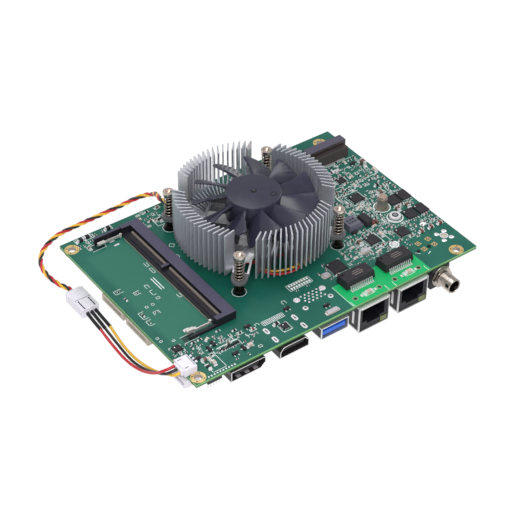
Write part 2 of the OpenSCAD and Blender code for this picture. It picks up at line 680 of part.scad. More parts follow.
circuit_board();
processor();
thermal_pad();
heatsink();
heatsink_fins();
cooler_backplate();
cooler_screw(-1, -1);  // cooler_screw_front_left
cooler_screw(1, -1);  // cooler_screw_front_right
cooler_screw(-1, 1);  // cooler_screw_back_left
cooler_screw(1, 1);  // cooler_screw_back_right
cooler_spring(-1, -1);  // cooler_spring_front_left
cooler_spring(1, -1);  // cooler_spring_front_right
cooler_spring(-1, 1);  // cooler_spring_back_left
cooler_spring(1, 1);  // cooler_spring_back_right
fan_base();
fan_stator();
fan_bearing();
fan_rotor();
fan_magnet();
fan_shaft();
fan_lead_inner();
fan_lead();
inline_plug();
inline_socket();
wire_sleeves();
wire_red();
wire_black();
wire_yellow();
header_plug();
fan_header();
memory_socket();
memory_contacts();
memory_latch_front();
memory_latch_back();
card_socket();
card_contacts();
card_standoff();
card_standoff_screw();
card_nut();
lan_port_left();
lan_port_right();
lan_inserts();
display_port_shell();
display_port_insert();
hdmi_shell();
hdmi_insert();
usb_shell();
usb_tongue();
power_jack_body();
power_jack_barrel();
power_jack_nut();
edge_connectors();
edge_connector_white();
pin_header();
lan_transformers();
integrated_circuits();
power_inductors();
power_transistors();
crystals();
chip_passives();
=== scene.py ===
import math
import random

import bmesh
import bpy
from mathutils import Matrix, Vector


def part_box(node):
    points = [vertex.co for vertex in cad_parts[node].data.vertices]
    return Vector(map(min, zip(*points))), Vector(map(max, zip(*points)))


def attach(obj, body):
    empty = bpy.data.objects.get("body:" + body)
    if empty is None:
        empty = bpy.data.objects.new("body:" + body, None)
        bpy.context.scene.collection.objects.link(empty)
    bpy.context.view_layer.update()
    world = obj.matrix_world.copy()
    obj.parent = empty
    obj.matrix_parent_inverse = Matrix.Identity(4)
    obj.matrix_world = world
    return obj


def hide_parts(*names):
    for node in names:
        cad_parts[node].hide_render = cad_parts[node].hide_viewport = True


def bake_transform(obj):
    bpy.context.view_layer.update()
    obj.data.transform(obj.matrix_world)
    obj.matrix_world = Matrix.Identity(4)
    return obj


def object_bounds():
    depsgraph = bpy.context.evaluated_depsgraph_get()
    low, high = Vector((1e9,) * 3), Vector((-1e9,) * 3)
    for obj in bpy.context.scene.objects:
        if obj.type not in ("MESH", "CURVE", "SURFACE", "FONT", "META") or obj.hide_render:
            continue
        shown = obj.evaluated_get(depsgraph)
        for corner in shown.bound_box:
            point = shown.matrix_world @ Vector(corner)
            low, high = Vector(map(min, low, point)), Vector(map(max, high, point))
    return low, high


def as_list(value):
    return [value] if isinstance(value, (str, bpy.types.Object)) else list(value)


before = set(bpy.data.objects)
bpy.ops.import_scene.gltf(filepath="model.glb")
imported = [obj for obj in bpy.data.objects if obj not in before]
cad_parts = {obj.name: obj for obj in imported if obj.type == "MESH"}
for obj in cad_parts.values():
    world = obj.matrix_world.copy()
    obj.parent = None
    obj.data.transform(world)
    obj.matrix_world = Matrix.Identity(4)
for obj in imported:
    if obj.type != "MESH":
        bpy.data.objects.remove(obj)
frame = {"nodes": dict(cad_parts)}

cad_box = [list(v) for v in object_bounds()]

MM = 0.001
board_low, board_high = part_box("circuit_board")
CENTRE = Vector(((board_low.x + board_high.x)/2, (board_low.y + board_high.y)/2, board_high.z))
HALF_L = (board_high.x - board_low.x)/2/MM
HALF_W = (board_high.y - board_low.y)/2/MM
UNDER = (board_low.z - board_high.z)/MM
FLOOR_Z = cad_box[0][2]
CORNERS = ((-1, -1), (1, -1), (1, 1), (-1, 1))


def at(x, y, z):
    """Point in the shared frame, in metres."""
    return CENTRE + Vector((x, y, z))*MM


def box_mm(node):
    """Lowest and highest corner of a CAD node, in board millimetres."""
    low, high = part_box(node)
    return (low - CENTRE)/MM, (high - CENTRE)/MM


def plan_of(a, b):
    """Middle and size, in x and y, of the box between two corners."""
    return (a[0] + b[0])/2, (a[1] + b[1])/2, b[0] - a[0], b[1] - a[1]


def turned(x, y, turn, u, v):
    """The point that lies (u, v) from (x, y) before a turn in degrees about (x, y)."""
    c = math.cos(math.radians(turn))
    s = math.sin(math.radians(turn))
    return x + c*u - s*v, y + s*u + c*v


def solids_of(node):
    """Corners of each separate solid in a CAD node, in board millimetres."""
    mesh = frame["nodes"][node].data
    key = [tuple(round(c, 6) for c in v.co) for v in mesh.vertices]
    leader = {k: k for k in key}

    def lead(k):
        while leader[k] != k:
            leader[k] = leader[leader[k]]
            k = leader[k]
        return k

    for face in mesh.polygons:
        first = lead(key[face.vertices[0]])
        for i in face.vertices:
            leader[lead(key[i])] = first
    groups = {}
    for k in leader:
        groups.setdefault(lead(k), []).append((Vector(k) - CENTRE)/MM)
    return sorted([[pick(p[i] for p in points) for i in range(3)] for pick in (min, max)]
                  for points in groups.values())


# ---- materials ----
def shade(colour, k):
    return tuple(min(1.0, c*k) for c in colour) + (1.0,)


class Finish:
    """A material made of nodes, whose patterns follow the object's own coordinates."""

    def __init__(self, name, metal=0, shine=0.5, coat=0):
        self.material = bpy.data.materials.new("mat_" + name)
        self.material.use_nodes = True
        self.bsdf = self.material.node_tree.nodes["Principled BSDF"]
        self.fill(self.bsdf, {"Metallic": metal, "Specular IOR Level": shine, "Coat Weight": coat})
        self.coords = self.add("TexCoord", {}).outputs["Object"]

    def fill(self, node, inputs):
        """Links each socket to its source, or sets it when the source is a plain value."""
        for socket, source in inputs.items():
            if isinstance(source, bpy.types.NodeSocket):
                self.material.node_tree.links.new(source, node.inputs[socket])
            else:
                node.inputs[socket].default_value = source

    def add(self, kind, inputs, **settings):
        node = self.material.node_tree.nodes.new("ShaderNode" + kind)
        for name, value in settings.items():
            setattr(node, name, value)
        self.fill(node, inputs)
        return node

    def noise(self, scale, detail=3):
        return self.add("TexNoise", {"Vector": self.coords, "Scale": scale, "Detail": detail}).outputs["Fac"]

    def mix(self, factor, a, b):
        return self.add("Mix", {0: factor, 6: a, 7: b}, data_type="RGBA").outputs[2]

    def maths(self, operation, a, b=0):
        return self.add("Math", {0: a, 1: b}, operation=operation).outputs[0]

    def apart(self, a, b):
        return self.maths("ABSOLUTE", self.maths("SUBTRACT", a, b))

    def ramp(self, source, low, high, from_low=0.3, from_high=0.7):
        """Carries a value from one range to another, and holds it between the ends."""
        return self.add("MapRange", {"Value": source, "From Min": from_low, "From Max": from_high,
                                     "To Min": low, "To Max": high}).outputs["Result"]

    def axes(self, source=None):
        return self.add("SeparateXYZ", {0: self.coords if source is None else source}).outputs

    def cloudy(self, colour, vary, grain):
        cloud = self.ramp(self.noise(grain), 0, 1)
        return self.mix(cloud, shade(colour, 1 - vary), shade(colour, 1 + vary))

    def facing_up(self):
        """1 on level faces that look up, 0 on walls."""
        normal = self.add("NewGeometry", {}).outputs["True Normal"]
        return self.ramp(self.axes(normal)[2], 0, 1, 0.5, 0.8)

    def within(self, x0, x1, y0, y1, soft=0.0002):
        """1 inside a rectangle of the board given in millimetres, 0 outside."""
        masks = []
        for axis, low, high in ((0, x0, x1), (1, y0, y1)):
            away = self.apart(self.axes()[axis], CENTRE[axis] + (low + high)/2*MM)
            half = (high - low)/2*MM
            masks.append(self.ramp(away, 1, 0, half - soft, half + soft))
        return self.maths("MULTIPLY", *masks)

    def tracks(self, scale, width):
        """Thin straight lines between irregular cells, as copper tracks under the mask show."""
        cells = self.add("TexVoronoi", {"Vector": self.coords, "Scale": scale, "Randomness": 0.75},
                         feature="DISTANCE_TO_EDGE")
        return self.ramp(cells.outputs["Distance"], 1, 0, width*0.6, width)

    def surface(self, colour, rough, bump=0.15, fine=6000):
        """Sets the colour, fine noise in the roughness and a shallow bump of the same grain."""
        swing = 0.08
        grain = self.noise(fine, 4)
        relief = self.add("Bump", {"Strength": bump, "Distance": 0.00004, "Height": grain})
        self.fill(self.bsdf, {"Base Color": colour, "Normal": relief.outputs["Normal"],
                              "Roughness": self.ramp(grain, max(0.02, rough - swing), rough + swing)})
        return self.material


def paint(name, colour, rough=0.45, metal=0, vary=0.12, grain=700, bump=0.15, fine=6000, shine=0.5, coat=0):
    """Plain material: cloudy colour, uneven gloss and a fine surface grain."""
    finish = Finish(name, metal, shine, coat)
    return finish.surface(finish.cloudy(colour, vary, grain), rough, bump, fine)


def painted_light_and_shade(name, upper, lower, z, rough=0.45, metal=0, lit_tops_only=False):
    """Painted light and shade: a lit colour above a height (or only on its level faces, as painted lit tops)
    and a painted-shade colour below.
    """
    finish = Finish(name, metal, 0.4)
    edge = CENTRE.z + z*MM
    mask = finish.ramp(finish.axes()[2], 0, 1, edge - 0.00005, edge + 0.00005)
    # Painted lit tops: only level faces that look up keep the lit colour
    if lit_tops_only:
        mask = finish.maths("MULTIPLY", mask, finish.facing_up())
    return finish.surface(finish.mix(mask, finish.cloudy(lower, 0.15, 800),
                                     finish.cloudy(upper, 0.1, 800)), rough)


def board_material():
    """Green mask: paler under the memory, busy at the right, bright at the network ports."""
    finish = Finish("solder_mask", shine=0.3)
    cloud = finish.ramp(finish.noise(45, 2), 0, 1, 0.4, 0.6)
    colour = finish.mix(cloud, (0.006, 0.098, 0.070, 1), (0.012, 0.124, 0.088, 1))
    colour = finish.mix(finish.within(-68, -48.5, -29, 38, 0.0015), colour, (0.022, 0.146, 0.100, 1))
    busy = finish.maths("MULTIPLY", finish.tracks(1300, 0.12), 0.16)
    busy = finish.maths("MULTIPLY", busy, finish.within(30, 72, -50, 31, 0.002))
    colour = finish.mix(busy, colour, (0.003, 0.07, 0.05, 1))
    colour = finish.mix(finish.within(5.2, 47, -52, -37.2), colour, (0.008, 0.400, 0.120, 1))
    grain = finish.ramp(finish.noise(900), 0, 1)
    laminate = finish.mix(grain, (0.12, 0.36, 0.13, 1), (0.24, 0.46, 0.18, 1))
    lower = finish.ramp(finish.axes()[2], 1, 0, CENTRE.z - 0.0011, CENTRE.z - 0.0007)
    laminate = finish.mix(lower, laminate, (0.05, 0.15, 0.06, 1))
    return finish.surface(finish.mix(finish.facing_up(), laminate, colour), 0.36, 0.1, 2500)


def fin_material():
    """Sheet aluminium with rolling lines that run along the fins."""
    finish = Finish("heatsink_fins", metal=0.85)
    stretch = finish.add("Mapping", {"Vector": finish.coords, "Scale": (1, 1, 9)})
    finish.coords = stretch.outputs["Vector"]
    tone = finish.ramp(finish.noise(900), 0, 1)
    return finish.surface(finish.mix(tone, (0.56, 0.57, 0.62, 1), (0.72, 0.72, 0.78, 1)), 0.38, 0.15, 1500)


def base_material():
    """Painted light: bright along the two diagonals the arms follow as a painted reflection, and duller
    elsewhere and at the spring boss on each arm's end as painted shade.
    """
    finish = Finish("heatsink_base", metal=0.2)
    low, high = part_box("heatsink")
    x, y = (finish.apart(finish.axes()[i], (low[i] + high[i])/2) for i in range(2))
    # Painted shade off the arms and at the spring ends; a painted reflection along the arms
    shaded_off_arms = finish.ramp(finish.apart(x, y), 0, 1, 0.0052, 0.0056)
    shaded_bosses = finish.ramp(finish.maths("ADD", x, y), 0, 1, 0.0470, 0.0478)
    return finish.surface(finish.mix(finish.maths("MAXIMUM", shaded_off_arms, shaded_bosses),
                                     finish.cloudy((0.95, 0.95, 0.97), 0.03, 300),
                                     finish.cloudy((0.14, 0.14, 0.15), 0.1, 600)), 0.25, 0.2, 1200)


PAINTS = {  # colour, roughness, metal, unevenness and its grain, bump and its grain, shine, coat
    "chip": ((0.020, 0.018, 0.023), 0.5, 0, 0.25, 900, 0.3, 9000, 0.3),
    "pad": ((0.45, 0.47, 0.52), 0.8, 0, 0.1, 500),
    "black_steel": ((0.035, 0.035, 0.037), 0.45, 0.5, 0.2, 600),
    "nickel": ((0.50, 0.45, 0.41), 0.2, 1, 0.15, 1500, 0.1),
    "spring": ((0.36, 0.30, 0.26), 0.18, 1, 0.2, 2500, 0.1),
    "fan_seat": ((0.80, 0.80, 0.83), 0.3, 0.2, 0.05),
    "copper": ((0.09, 0.04, 0.025), 0.4, 0.5, 0.3, 4000, 0.5, 9000),
    "brass": ((0.62, 0.42, 0.16), 0.3, 1),
    "rotor": ((0.029, 0.028, 0.051), 0.27, 0, 0.08, 400, 0.08, 5000, 0.4),
    "magnet": ((0.04, 0.04, 0.042), 0.6, 0.2),
    "steel": ((0.62, 0.62, 0.62), 0.15, 1),
    "nylon": ((0.74, 0.71, 0.79), 0.42, 0, 0.04, 500, 0.1),
    "sleeve": ((0.010, 0.010, 0.012), 0.42, 0, 0.3, 1500, 0.15, 6000, 0.3),
    "red": ((0.50, 0.012, 0.025), 0.3, 0, 0.15, 1200, 0.05),
    "dark": ((0.012, 0.010, 0.012), 0.3, 0, 0.3, 1200, 0.05),
    "yellow": ((0.80, 0.45, 0.030), 0.3, 0, 0.12, 1200, 0.05),
    "socket_dark": ((0.020, 0.018, 0.026), 0.45, 0, 0.2, 900, 0.15, 6000, 0.3),
    "gold": ((0.66, 0.48, 0.20), 0.3, 0.5, 0.15, 2000),
    "contact": ((0.36, 0.31, 0.27), 0.4, 0.3, 0.2, 3000, 0.4, 9000),
    "latch": ((0.62, 0.60, 0.58), 0.3, 0.6, 0.1, 1500),
    "khaki": ((0.34, 0.31, 0.27), 0.33, 0.8, 0.15, 900),
    "coppery": ((0.60, 0.48, 0.42), 0.28, 0.8, 0.15, 1500),
    "shell": ((0.66, 0.65, 0.66), 0.26, 0.8, 0.08, 500, 0.1, 2500),
    "dark_shell": ((0.10, 0.09, 0.09), 0.3, 0.8, 0.15, 600),
    "insert": ((0.010, 0.010, 0.014), 0.38, 0, 0.3, 900, 0.15, 6000, 0.3),
    "blue": ((0.012, 0.12, 0.62), 0.35, 0, 0.12, 900),
    "tan": ((0.46, 0.42, 0.35), 0.55, 0, 0.08, 600),
    "inductor": ((0.12, 0.12, 0.165), 0.5, 0.1, 0.15, 1500, 0.4, 5000),
    "crystal": ((0.62, 0.59, 0.64), 0.3, 0.6, 0.1, 900),
    "brown": ((0.13, 0.080, 0.062), 0.42, 0, 0.25, 1200),
    "rust": ((0.17, 0.055, 0.042), 0.42, 0, 0.2, 1200),
    "cream": ((0.50, 0.42, 0.34), 0.45, 0, 0.12, 1200),
    "resistor": ((0.014, 0.013, 0.017), 0.4, 0, 0.3, 1500, 0.15, 6000, 0.3),
    "silk": ((0.76, 0.82, 0.80), 0.6, 0, 0.08, 3000),
    "tin": ((0.80, 0.79, 0.81), 0.25, 0.45, 0.1, 2500, 0.3, 5000),
    "slot_green": ((0.003, 0.035, 0.028), 0.4, 0, 0.2, 900),
    "led": ((0.11, 0.14, 0.03), 0.3, 0, 0.2, 2000, 0.15, 6000, 0.5, 0.3),
    "stage": ((0.06, 0.06, 0.06), 0.9, 0, 0.01, 3, 0, 6000, 0),
}
MAT = {name: paint(name, *values) for name, values in PAINTS.items()}
MAT.update({
    "mask": board_material(), "fins": fin_material(), "base": base_material(),
    # Painted shade: below 17.6 mm the screws take a darkened copy of the head's colour
    "screw": painted_light_and_shade("cooler_screw", (0.72, 0.62, 0.56), (0.06, 0.05, 0.045), 17.6, 0.2, 1),
    # Painted light: the two sockets keep a lit tone on their level tops above the given height, and a
    # painted-shade tone on walls and below
    "socket": painted_light_and_shade("socket", (0.060, 0.054, 0.098), (0.010, 0.009, 0.014), 2.5, lit_tops_only=True),
    "card": painted_light_and_shade("card_socket", (0.070, 0.063, 0.100), (0.055, 0.045, 0.046), 6.9, lit_tops_only=True),
    # Card pins: gold above 3 mm, darkened as painted shade, and bright tin below
    "card_pins": painted_light_and_shade("card_pins", (0.10, 0.07, 0.03), (0.75, 0.74, 0.75), 3, 0.3, 0.4),
})


# ---- closed solids, drawn in board millimetres and joined into one mesh piece ----
SUNK = -0.01  # prints and pads start just inside the board's face
PRINT_TOP = 0.03


def carried(path, first):
    """Each point of a path with two directions across it, carried along without a twist."""
    side = None
    for i, p in enumerate(path):
        tangent = (path[min(i + 1, len(path) - 1)] - path[max(i - 1, 0)]).normalized()
        if side is None:
            side = first(tangent).normalized()
        side = (side - tangent*side.dot(tangent)).normalized()
        yield p, side, tangent.cross(side)


class Shape:
    def __init__(self, *mats):
        self.mats = mats
        self.bm = bmesh.new()

    def add(self, points, faces, mat):
        verts = [self.bm.verts.new(at(*p)) for p in points]
        for f in faces:
            face = self.bm.faces.new([verts[i] for i in f])
            face.material_index = self.mats.index(mat)

    def sections(self, rings, mat):
        """Closed rings of points joined one to the next, with both ends capped."""
        n = len(rings[0])
        points = [p for ring in rings for p in ring]
        faces = [list(range(n))[::-1], list(range(len(points) - n, len(points)))]
        for i in range(0, len(points) - n, n):
            for k in range(n):
                m = (k + 1) % n
                faces.append([i + k, i + m, i + n + m, i + n + k])
        self.add(points, faces, mat)

    def block(self, x, y, lx, ly, z0, z1, mat, turn=0, taper=0):
        """Upright block centred on x, y; taper draws its top in on each side."""
        self.sections([[(*turned(x, y, turn, sx*(lx/2 - t), sy*(ly/2 - t)), z) for sx, sy in CORNERS]
                       for z, t in ((z0, 0), (z1, taper))], mat)

    def pad(self, x, y, lx, ly, top, mat="tin", turn=0, taper=0):
        """Block that starts just inside the board's face."""
        self.block(x, y, lx, ly, SUNK, top, mat, turn, taper)

    def box(self, a, b, mat):
        self.block(*plan_of(a, b), a[2], b[2], mat)

    def line(self, x0, y0, x1, y1, width=0.22):
        """Printed line from one point to the other."""
        turn = math.degrees(math.atan2(y1 - y0, x1 - x0))
        length = math.hypot(x1 - x0, y1 - y0) + width
        self.pad((x0 + x1)/2, (y0 + y1)/2, length, width, PRINT_TOP, "silk", turn)

    def frame(self, x, y, lx, ly, width=0.22, open_sides="", turn=0):
        """Printed outline of a rectangle, leaving out the sides named n, e, s or w."""
        corners = [turned(x, y, turn, sx*lx/2, sy*ly/2) for sx, sy in CORNERS]
        for side, a, b in zip("senw", corners, corners[1:] + corners[:1]):
            if side not in open_sides:
                self.line(*a, *b, width)

    def lathe(self, profile, mat, centre=(0, 0), sides=32, loop=False, along=None):
        """Profile of (radius, height) turned about an upright axis, or placed by along()."""
        place = along or (lambda u, v, w: (centre[0] + u, centre[1] + v, w))
        verts, rings = [], []
        for r, h in profile:
            if r < 1e-6:
                verts.append(place(0, 0, h))
                rings.append([len(verts) - 1]*sides)
                continue
            rings.append(list(range(len(verts), len(verts) + sides)))
            for k in range(sides):
                a = 2*math.pi*k/sides
                verts.append(place(r*math.cos(a), r*math.sin(a), h))
        faces = []
        pairs = list(zip(rings, rings[1:] + rings[:1]))
        for low, high in pairs if loop else pairs[:-1]:
            for k in range(sides):
                n = (k + 1) % sides
                quad = [low[k], low[n], high[n], high[k]]
                face = [v for i, v in enumerate(quad) if v not in quad[:i]]
                if len(face) > 2:
                    faces.append(face)
        if not loop:
            faces += [ring for ring in (rings[0][::-1], rings[-1]) if len(set(ring)) > 1]
        self.add(verts, faces, mat)

    def disc(self, x, y, r, z0, z1, mat, sides=20, top=None):
        self.lathe([(r, z0), (r if top is None else top, z1)], mat, (x, y), sides)

    def dot(self, x, y, r, z1, mat="tin", sides=20, top=None):
        """Disc that starts just inside the board's face."""
        self.disc(x, y, r, SUNK, z1, mat, sides, top)

    def ring(self, x, y, r_out, r_in, z1, mat, sides=28, z0=SUNK):
        self.lathe([(r_out, z0), (r_out, z1), (r_in, z1), (r_in, z0)], mat, (x, y), sides, loop=True)

    def prism(self, outline, w0, w1, mat, place=lambda u, v, w: (u, v, w)):
        self.sections([[place(u, v, w) for u, v in outline] for w in (w0, w1)], mat)

    def tube(self, path, r, mat, sides=8):
        angles = [2*math.pi*k/sides for k in range(sides)]
        self.sections([[p + r*(math.cos(a)*side + math.sin(a)*up) for a in angles]
                       for p, side, up in carried([Vector(p) for p in path], Vector.orthogonal)], mat)

    def piece(self, name, slot, body="board", bevel=0, crease=35, instead_of=None):
        bmesh.ops.recalc_face_normals(self.bm, faces=self.bm.faces)
        for face in self.bm.faces:
            face.smooth = True
        for edge in self.bm.edges:
            edge.smooth = edge.calc_face_angle(0) < math.radians(crease)
        mesh = bpy.data.meshes.new(name)
        self.bm.to_mesh(mesh)
        self.bm.free()
        for mat in self.mats:
            mesh.materials.append(MAT[mat])
        obj = bpy.data.objects.new(name, mesh)
        bpy.context.scene.collection.objects.link(obj)
        if bevel:
            soften(obj, bevel)
        if body:
            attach(obj, body)
        if instead_of:
            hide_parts(instead_of)
        return obj


def soften(obj, width):
    """Rounds the sharp edges a little, as moulded and stamped parts have them."""
    rounded = obj.modifiers.new("bevel", "BEVEL")
    rounded.width = width*MM
    rounded.segments = 2
    rounded.limit_method = "ANGLE"
    rounded.angle_limit = math.radians(40)


FINISHES = (  # finish, rounding of the edges, nodes
    ("mask", 0, "circuit_board"), ("chip", 0.1, "processor integrated_circuits"),
    ("chip", 0.12, "power_transistors"), ("pad", 0.05, "thermal_pad"), ("base", 0.25, "heatsink"),
    ("fins", 0.06, "heatsink_fins"), ("black_steel", 0.15, "cooler_backplate"),
    ("screw", 0.15, "cooler_screw_front_left cooler_screw_front_right"),
    ("screw", 0.15, "cooler_screw_back_left cooler_screw_back_right"),
    ("fan_seat", 0.15, "fan_base"), ("copper", 0.3, "fan_stator"), ("brass", 0.05, "fan_bearing"),
    ("magnet", 0.1, "fan_magnet"), ("steel", 0.05, "fan_shaft"), ("nylon", 0.2, "inline_plug"),
    ("nylon", 0.25, "inline_socket"), ("nylon", 0.15, "header_plug fan_header edge_connector_white"),
    ("tan", 0.15, "edge_connectors"), ("socket", 0.12, "memory_socket"),
    ("latch", 0.08, "memory_latch_front memory_latch_back"), ("card", 0.12, "card_socket"),
    ("card_pins", 0, "card_contacts"), ("khaki", 0.12, "card_standoff"),
    ("coppery", 0.12, "card_standoff_screw"), ("tin", 0.12, "card_nut"),
    ("shell", 0.1, "lan_port_left lan_port_right usb_shell"),
    ("dark_shell", 0.1, "display_port_shell hdmi_shell"), ("insert", 0.1, "lan_inserts"),
    ("insert", 0.08, "display_port_insert hdmi_insert"), ("insert", 0.15, "power_jack_body"),
    ("nickel", 0.2, "power_jack_nut"), ("blue", 0.12, "usb_tongue"),
)


def dress_frame():
    """Finishes and softened edges for the CAD nodes that stay on show."""
    for mat, bevel, nodes in FINISHES:
        for node in nodes.split():
            obj = frame["nodes"][node]
            obj.data.materials.clear()
            obj.data.materials.append(MAT[mat])
            if bevel:
                joined = obj.modifiers.new("weld", "WELD")
                joined.merge_threshold = 1e-6
                soften(obj, bevel)


# ---- routes ----
def through(points, steps):
    """Smooth curve through the points, in steps for each stretch."""
    p = [Vector(q) for q in points]
    out = []
    for i in range(len(p) - 1):
        a, b, c, d = p[max(i - 1, 0)], p[i], p[i + 1], p[min(i + 2, len(p) - 1)]
        for j in range(steps):
            t = j/steps
            out.append(0.5*(2*b + (c - a)*t + (2*a - 5*b + 4*c - d)*t*t + (3*b - a - 3*c + d)*t**3))
    return out + [p[-1]]


INNER_ROUTE = [(-7.2, -0.8, 9.7), (-10.6, -6.6, 9.9), (-12.8, -10.3, 9.7), (-13.9, -12.3, 6.9),
               (-13.9, -14.4, 3.9), (-11.6, -17.8, 2.9), (-6.5, -20.4, 2.9), (-0.8, -20.6, 2.9),
               (3.6, -17.2, 2.9), (2.8, -12, 2.9), (-2.5, -9.2, 2.9), (-9, -8.4, 2.9),
               (-15.5, -6, 2.9), (-19.4, -0.5, 2.9), (-20.2, 8, 2.9), (-20.2, 17, 2.9),
               (-19.6, 27, 2.9), (-19.4, 34, 3.1), (-20.5, 40.5, 3.8)]
LEAD_ROUTE = [(-20.5, 40.5, 3.8), (-22.1, 45.5, 4.5), (-22.2, 50, 3.6), (-20.5, 54.5, 1.5),
              (-17, 62.5, -3.5), (-14.5, 69, -9), (-15.5, 73.8, -12), (-20, 75.8, -13.4),
              (-28, 75.6, -13.7), (-38.5, 75.2, -13.7), (-49.5, 74.8, -13.7), (-60, 74.2, -13.7),
              (-67, 72, -13.7), (-73.8, 67.5, -13.7), (-78.2, 61, -13.7), (-79.8, 53, -13.7),
              (-78.8, 44.5, -13.5), (-77.3, 39, -12.8), (-77.2, 36, -12.75)]
WIRE_ROUTES = {
    "red": [(-79.5, 9.4, -13.2), (-79.8, 5, -13.6), (-80.2, -2, -13.9), (-80.8, -10, -13.3),
        (-81.2, -17.5, -11.6), (-81.2, -25, -8.8), (-81, -31, -5.4), (-80.6, -35.4, -2.2),
        (-79.7, -38.2, 0.4), (-77.8, -39.8, 1.9), (-75.2, -40, 2.2)],
    "black": [(-77.6, 9, -13.2), (-77.8, 4.5, -13.6), (-78.2, -2.5, -13.9), (-79, -10.5, -13.2),
        (-79.5, -18, -11.6), (-79.5, -26, -8.6), (-79.4, -32.5, -4.8), (-79.2, -37, -2.2),
        (-78.6, -39.8, -0.2), (-77.3, -41.4, 1.4), (-75.2, -41.8, 1.9)],
    "yellow": [(-75.3, 8.6, -13.2), (-75.8, 4, -13.6), (-76.6, -3, -13.9), (-77.3, -11, -13.1),
        (-77.7, -18.5, -11.4), (-77.8, -27, -8.4), (-77.8, -34, -4.9), (-77.4, -39, -2),
        (-77.1, -41.7, -0.5), (-76.4, -43.3, 0.8), (-75.1, -43.8, 1.4)],
}
SLEEVES = [[(-79, 21, -12.6), (-79.3, 15.5, -13), (-79.5, 9.4, -13.2)],
           [(-77, 21, -12.6), (-77.2, 15.2, -13), (-77.6, 9, -13.2)],
           [(-75, 21, -12.6), (-75.1, 15, -13), (-75.3, 8.6, -13.2)]]
STRAND_MATS = ("red", "dark", "yellow")


def strands(route, offset, pitch, r):
    """Three wires wound round one route, a full turn in each pitch."""
    shape = Shape(*STRAND_MATS)
    path = through(route, 6)
    lines = [[] for _ in STRAND_MATS]
    gone = 0
    for i, (p, side, up) in enumerate(carried(path, Vector((0, 0, 1)).cross)):
        gone += (p - path[i - 1]).length if i else 0
        for k, line in enumerate(lines):
            a = 2*math.pi*(gone/pitch + k/3)
            line.append(p + offset*(math.cos(a)*side + math.sin(a)*up))
    for line, mat in zip(lines, STRAND_MATS):
        shape.tube(line, r, mat)
    return shape


def build_cords():
    """The fan lead from the fins to the inline plug, and three wires on to the header plug."""
    nodes = frame["nodes"]
    lead = strands(LEAD_ROUTE, 0.6, 12, 0.54)
    lead = lead.piece("twisted_fan_lead", "lead_bundle", crease=60, instead_of="fan_lead")
    inner = strands(INNER_ROUTE, 0.85, 75, 0.5)
    inner.piece("fan_wires_under_fins", "lead_bundle", crease=60, instead_of="fan_lead_inner")
    wires = []
    for name, route in WIRE_ROUTES.items():
        shape = Shape("dark" if name == "black" else name)
        shape.tube(through(route, 5), 0.62, shape.mats[0], 10)
        node = "wire_" + name
        wire = shape.piece(name + "_header_wire", node, crease=60, instead_of=node)
        wires.append((wire, route, 0.057, 0.0013, [nodes["header_plug"]]))
    shape = Shape("sleeve")
    for route in SLEEVES:
        shape.tube(through(route, 5), 0.76, "sleeve", 12)
    sleeves = shape.piece("heat_shrink_sleeves", "sleeve_black", crease=60, instead_of="wire_sleeves")
    ends = [nodes["inline_plug"], nodes["inline_socket"], sleeves]
    for cord, route, length, diameter, fixed in [(lead, LEAD_ROUTE, 0.134, 0.0026, ends)] + wires:
        at(*route[0])
        [tuple(at(*p)) for p in through(route, 2)]
        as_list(fixed)


# ---- cooler ----
rotor_low, rotor_high = box_mm("fan_rotor")
COOLER = plan_of(rotor_low, rotor_high)[:2]
SCREWS = [(COOLER[0] + 26*sx, COOLER[1] + 26*sy) for sx in (-1, 1) for sy in (-1, 1)]
HUB_R = 12
BLADE_TIP = (rotor_high.x - rotor_low.x)/2 - 0.15
BLADES = 11
# How far out along a blade, from 0 at the hub to 1 at the tip, and half its thickness there
STATIONS = ((0, 0.62), (0.15, 0.56), (0.3, 0.5), (0.45, 0.47), (0.6, 0.44), (0.75, 0.42), (0.88, 0.4),
            (0.96, 0.36), (0.985, 0.3), (1, 0.16))


def blade_ring(s, turn, thin):
    """Rounded section of a blade at s, from 0 at the hub to 1 at the tip."""
    def surface(c, s2):
        r = HUB_R - 0.5 + (BLADE_TIP - HUB_R + 0.5 - 1.5*abs(2*c - 1)**7)*s2
        a = math.radians(turn - 9.7 + 8.7*s2 - c*31)
        z = 23.9 - 9*c + 0.9*math.sin(math.pi*c)*(0.5 + s2/2)
        return Vector((COOLER[0] + r*math.cos(a), COOLER[1] + r*math.sin(a), z))

    ring = []
    steps = 22
    for k in range(steps):
        angle = 2*math.pi*k/steps
        c = 0.5 - 0.5*math.cos(angle)
        across = surface(min(c + 0.02, 1), s) - surface(max(c - 0.02, 0), s)
        outward = surface(c, min(s + 0.02, 1)) - surface(c, max(s - 0.02, 0))
        normal = outward.cross(across).normalized()
        lip = 1 + 1.1*(1 - c)**5
        half = thin*lip*math.copysign(abs(math.sin(angle))**0.45, math.sin(angle))
        ring.append(surface(c, s) - normal*half)
    return ring


def build_rotor():
    shape = Shape("rotor", "insert")
    top = rotor_high.z
    hub = [(0, top - 0.62), (1.1, top - 0.62), (1.3, top - 0.5), (1.5, top), (11.5, top),
           (11.85, top - 0.1), (HUB_R, top - 0.35), (HUB_R, 13.2), (11.8, 13),
           (11.1, 13), (10.95, 13.2), (10.95, top - 1.5), (10.6, top - 1.2), (0, top - 1.2)]
    shape.lathe(hub, "rotor", COOLER, 96)
    # A round mark off the middle of the hub, its dark ring painted shade of a groove, and the floor of the
    # dimple
    x, y = COOLER[0] + 5.6, COOLER[1] - 6.6
    shape.ring(x, y, 1.55, 1, top + 0.03, "insert", 24, top - 0.2)
    shape.disc(x, y, 0.95, top - 0.1, top + 0.06, "rotor")
    shape.disc(*COOLER, 1, top - 0.7, top - 0.6, "insert", 24)
    for k in range(BLADES):
        shape.sections([blade_ring(s, 360/BLADES*k, thin) for s, thin in STATIONS], "rotor")
    shape.piece("rotor_with_blades", "fan_plastic", "fan", crease=50, instead_of="fan_rotor")


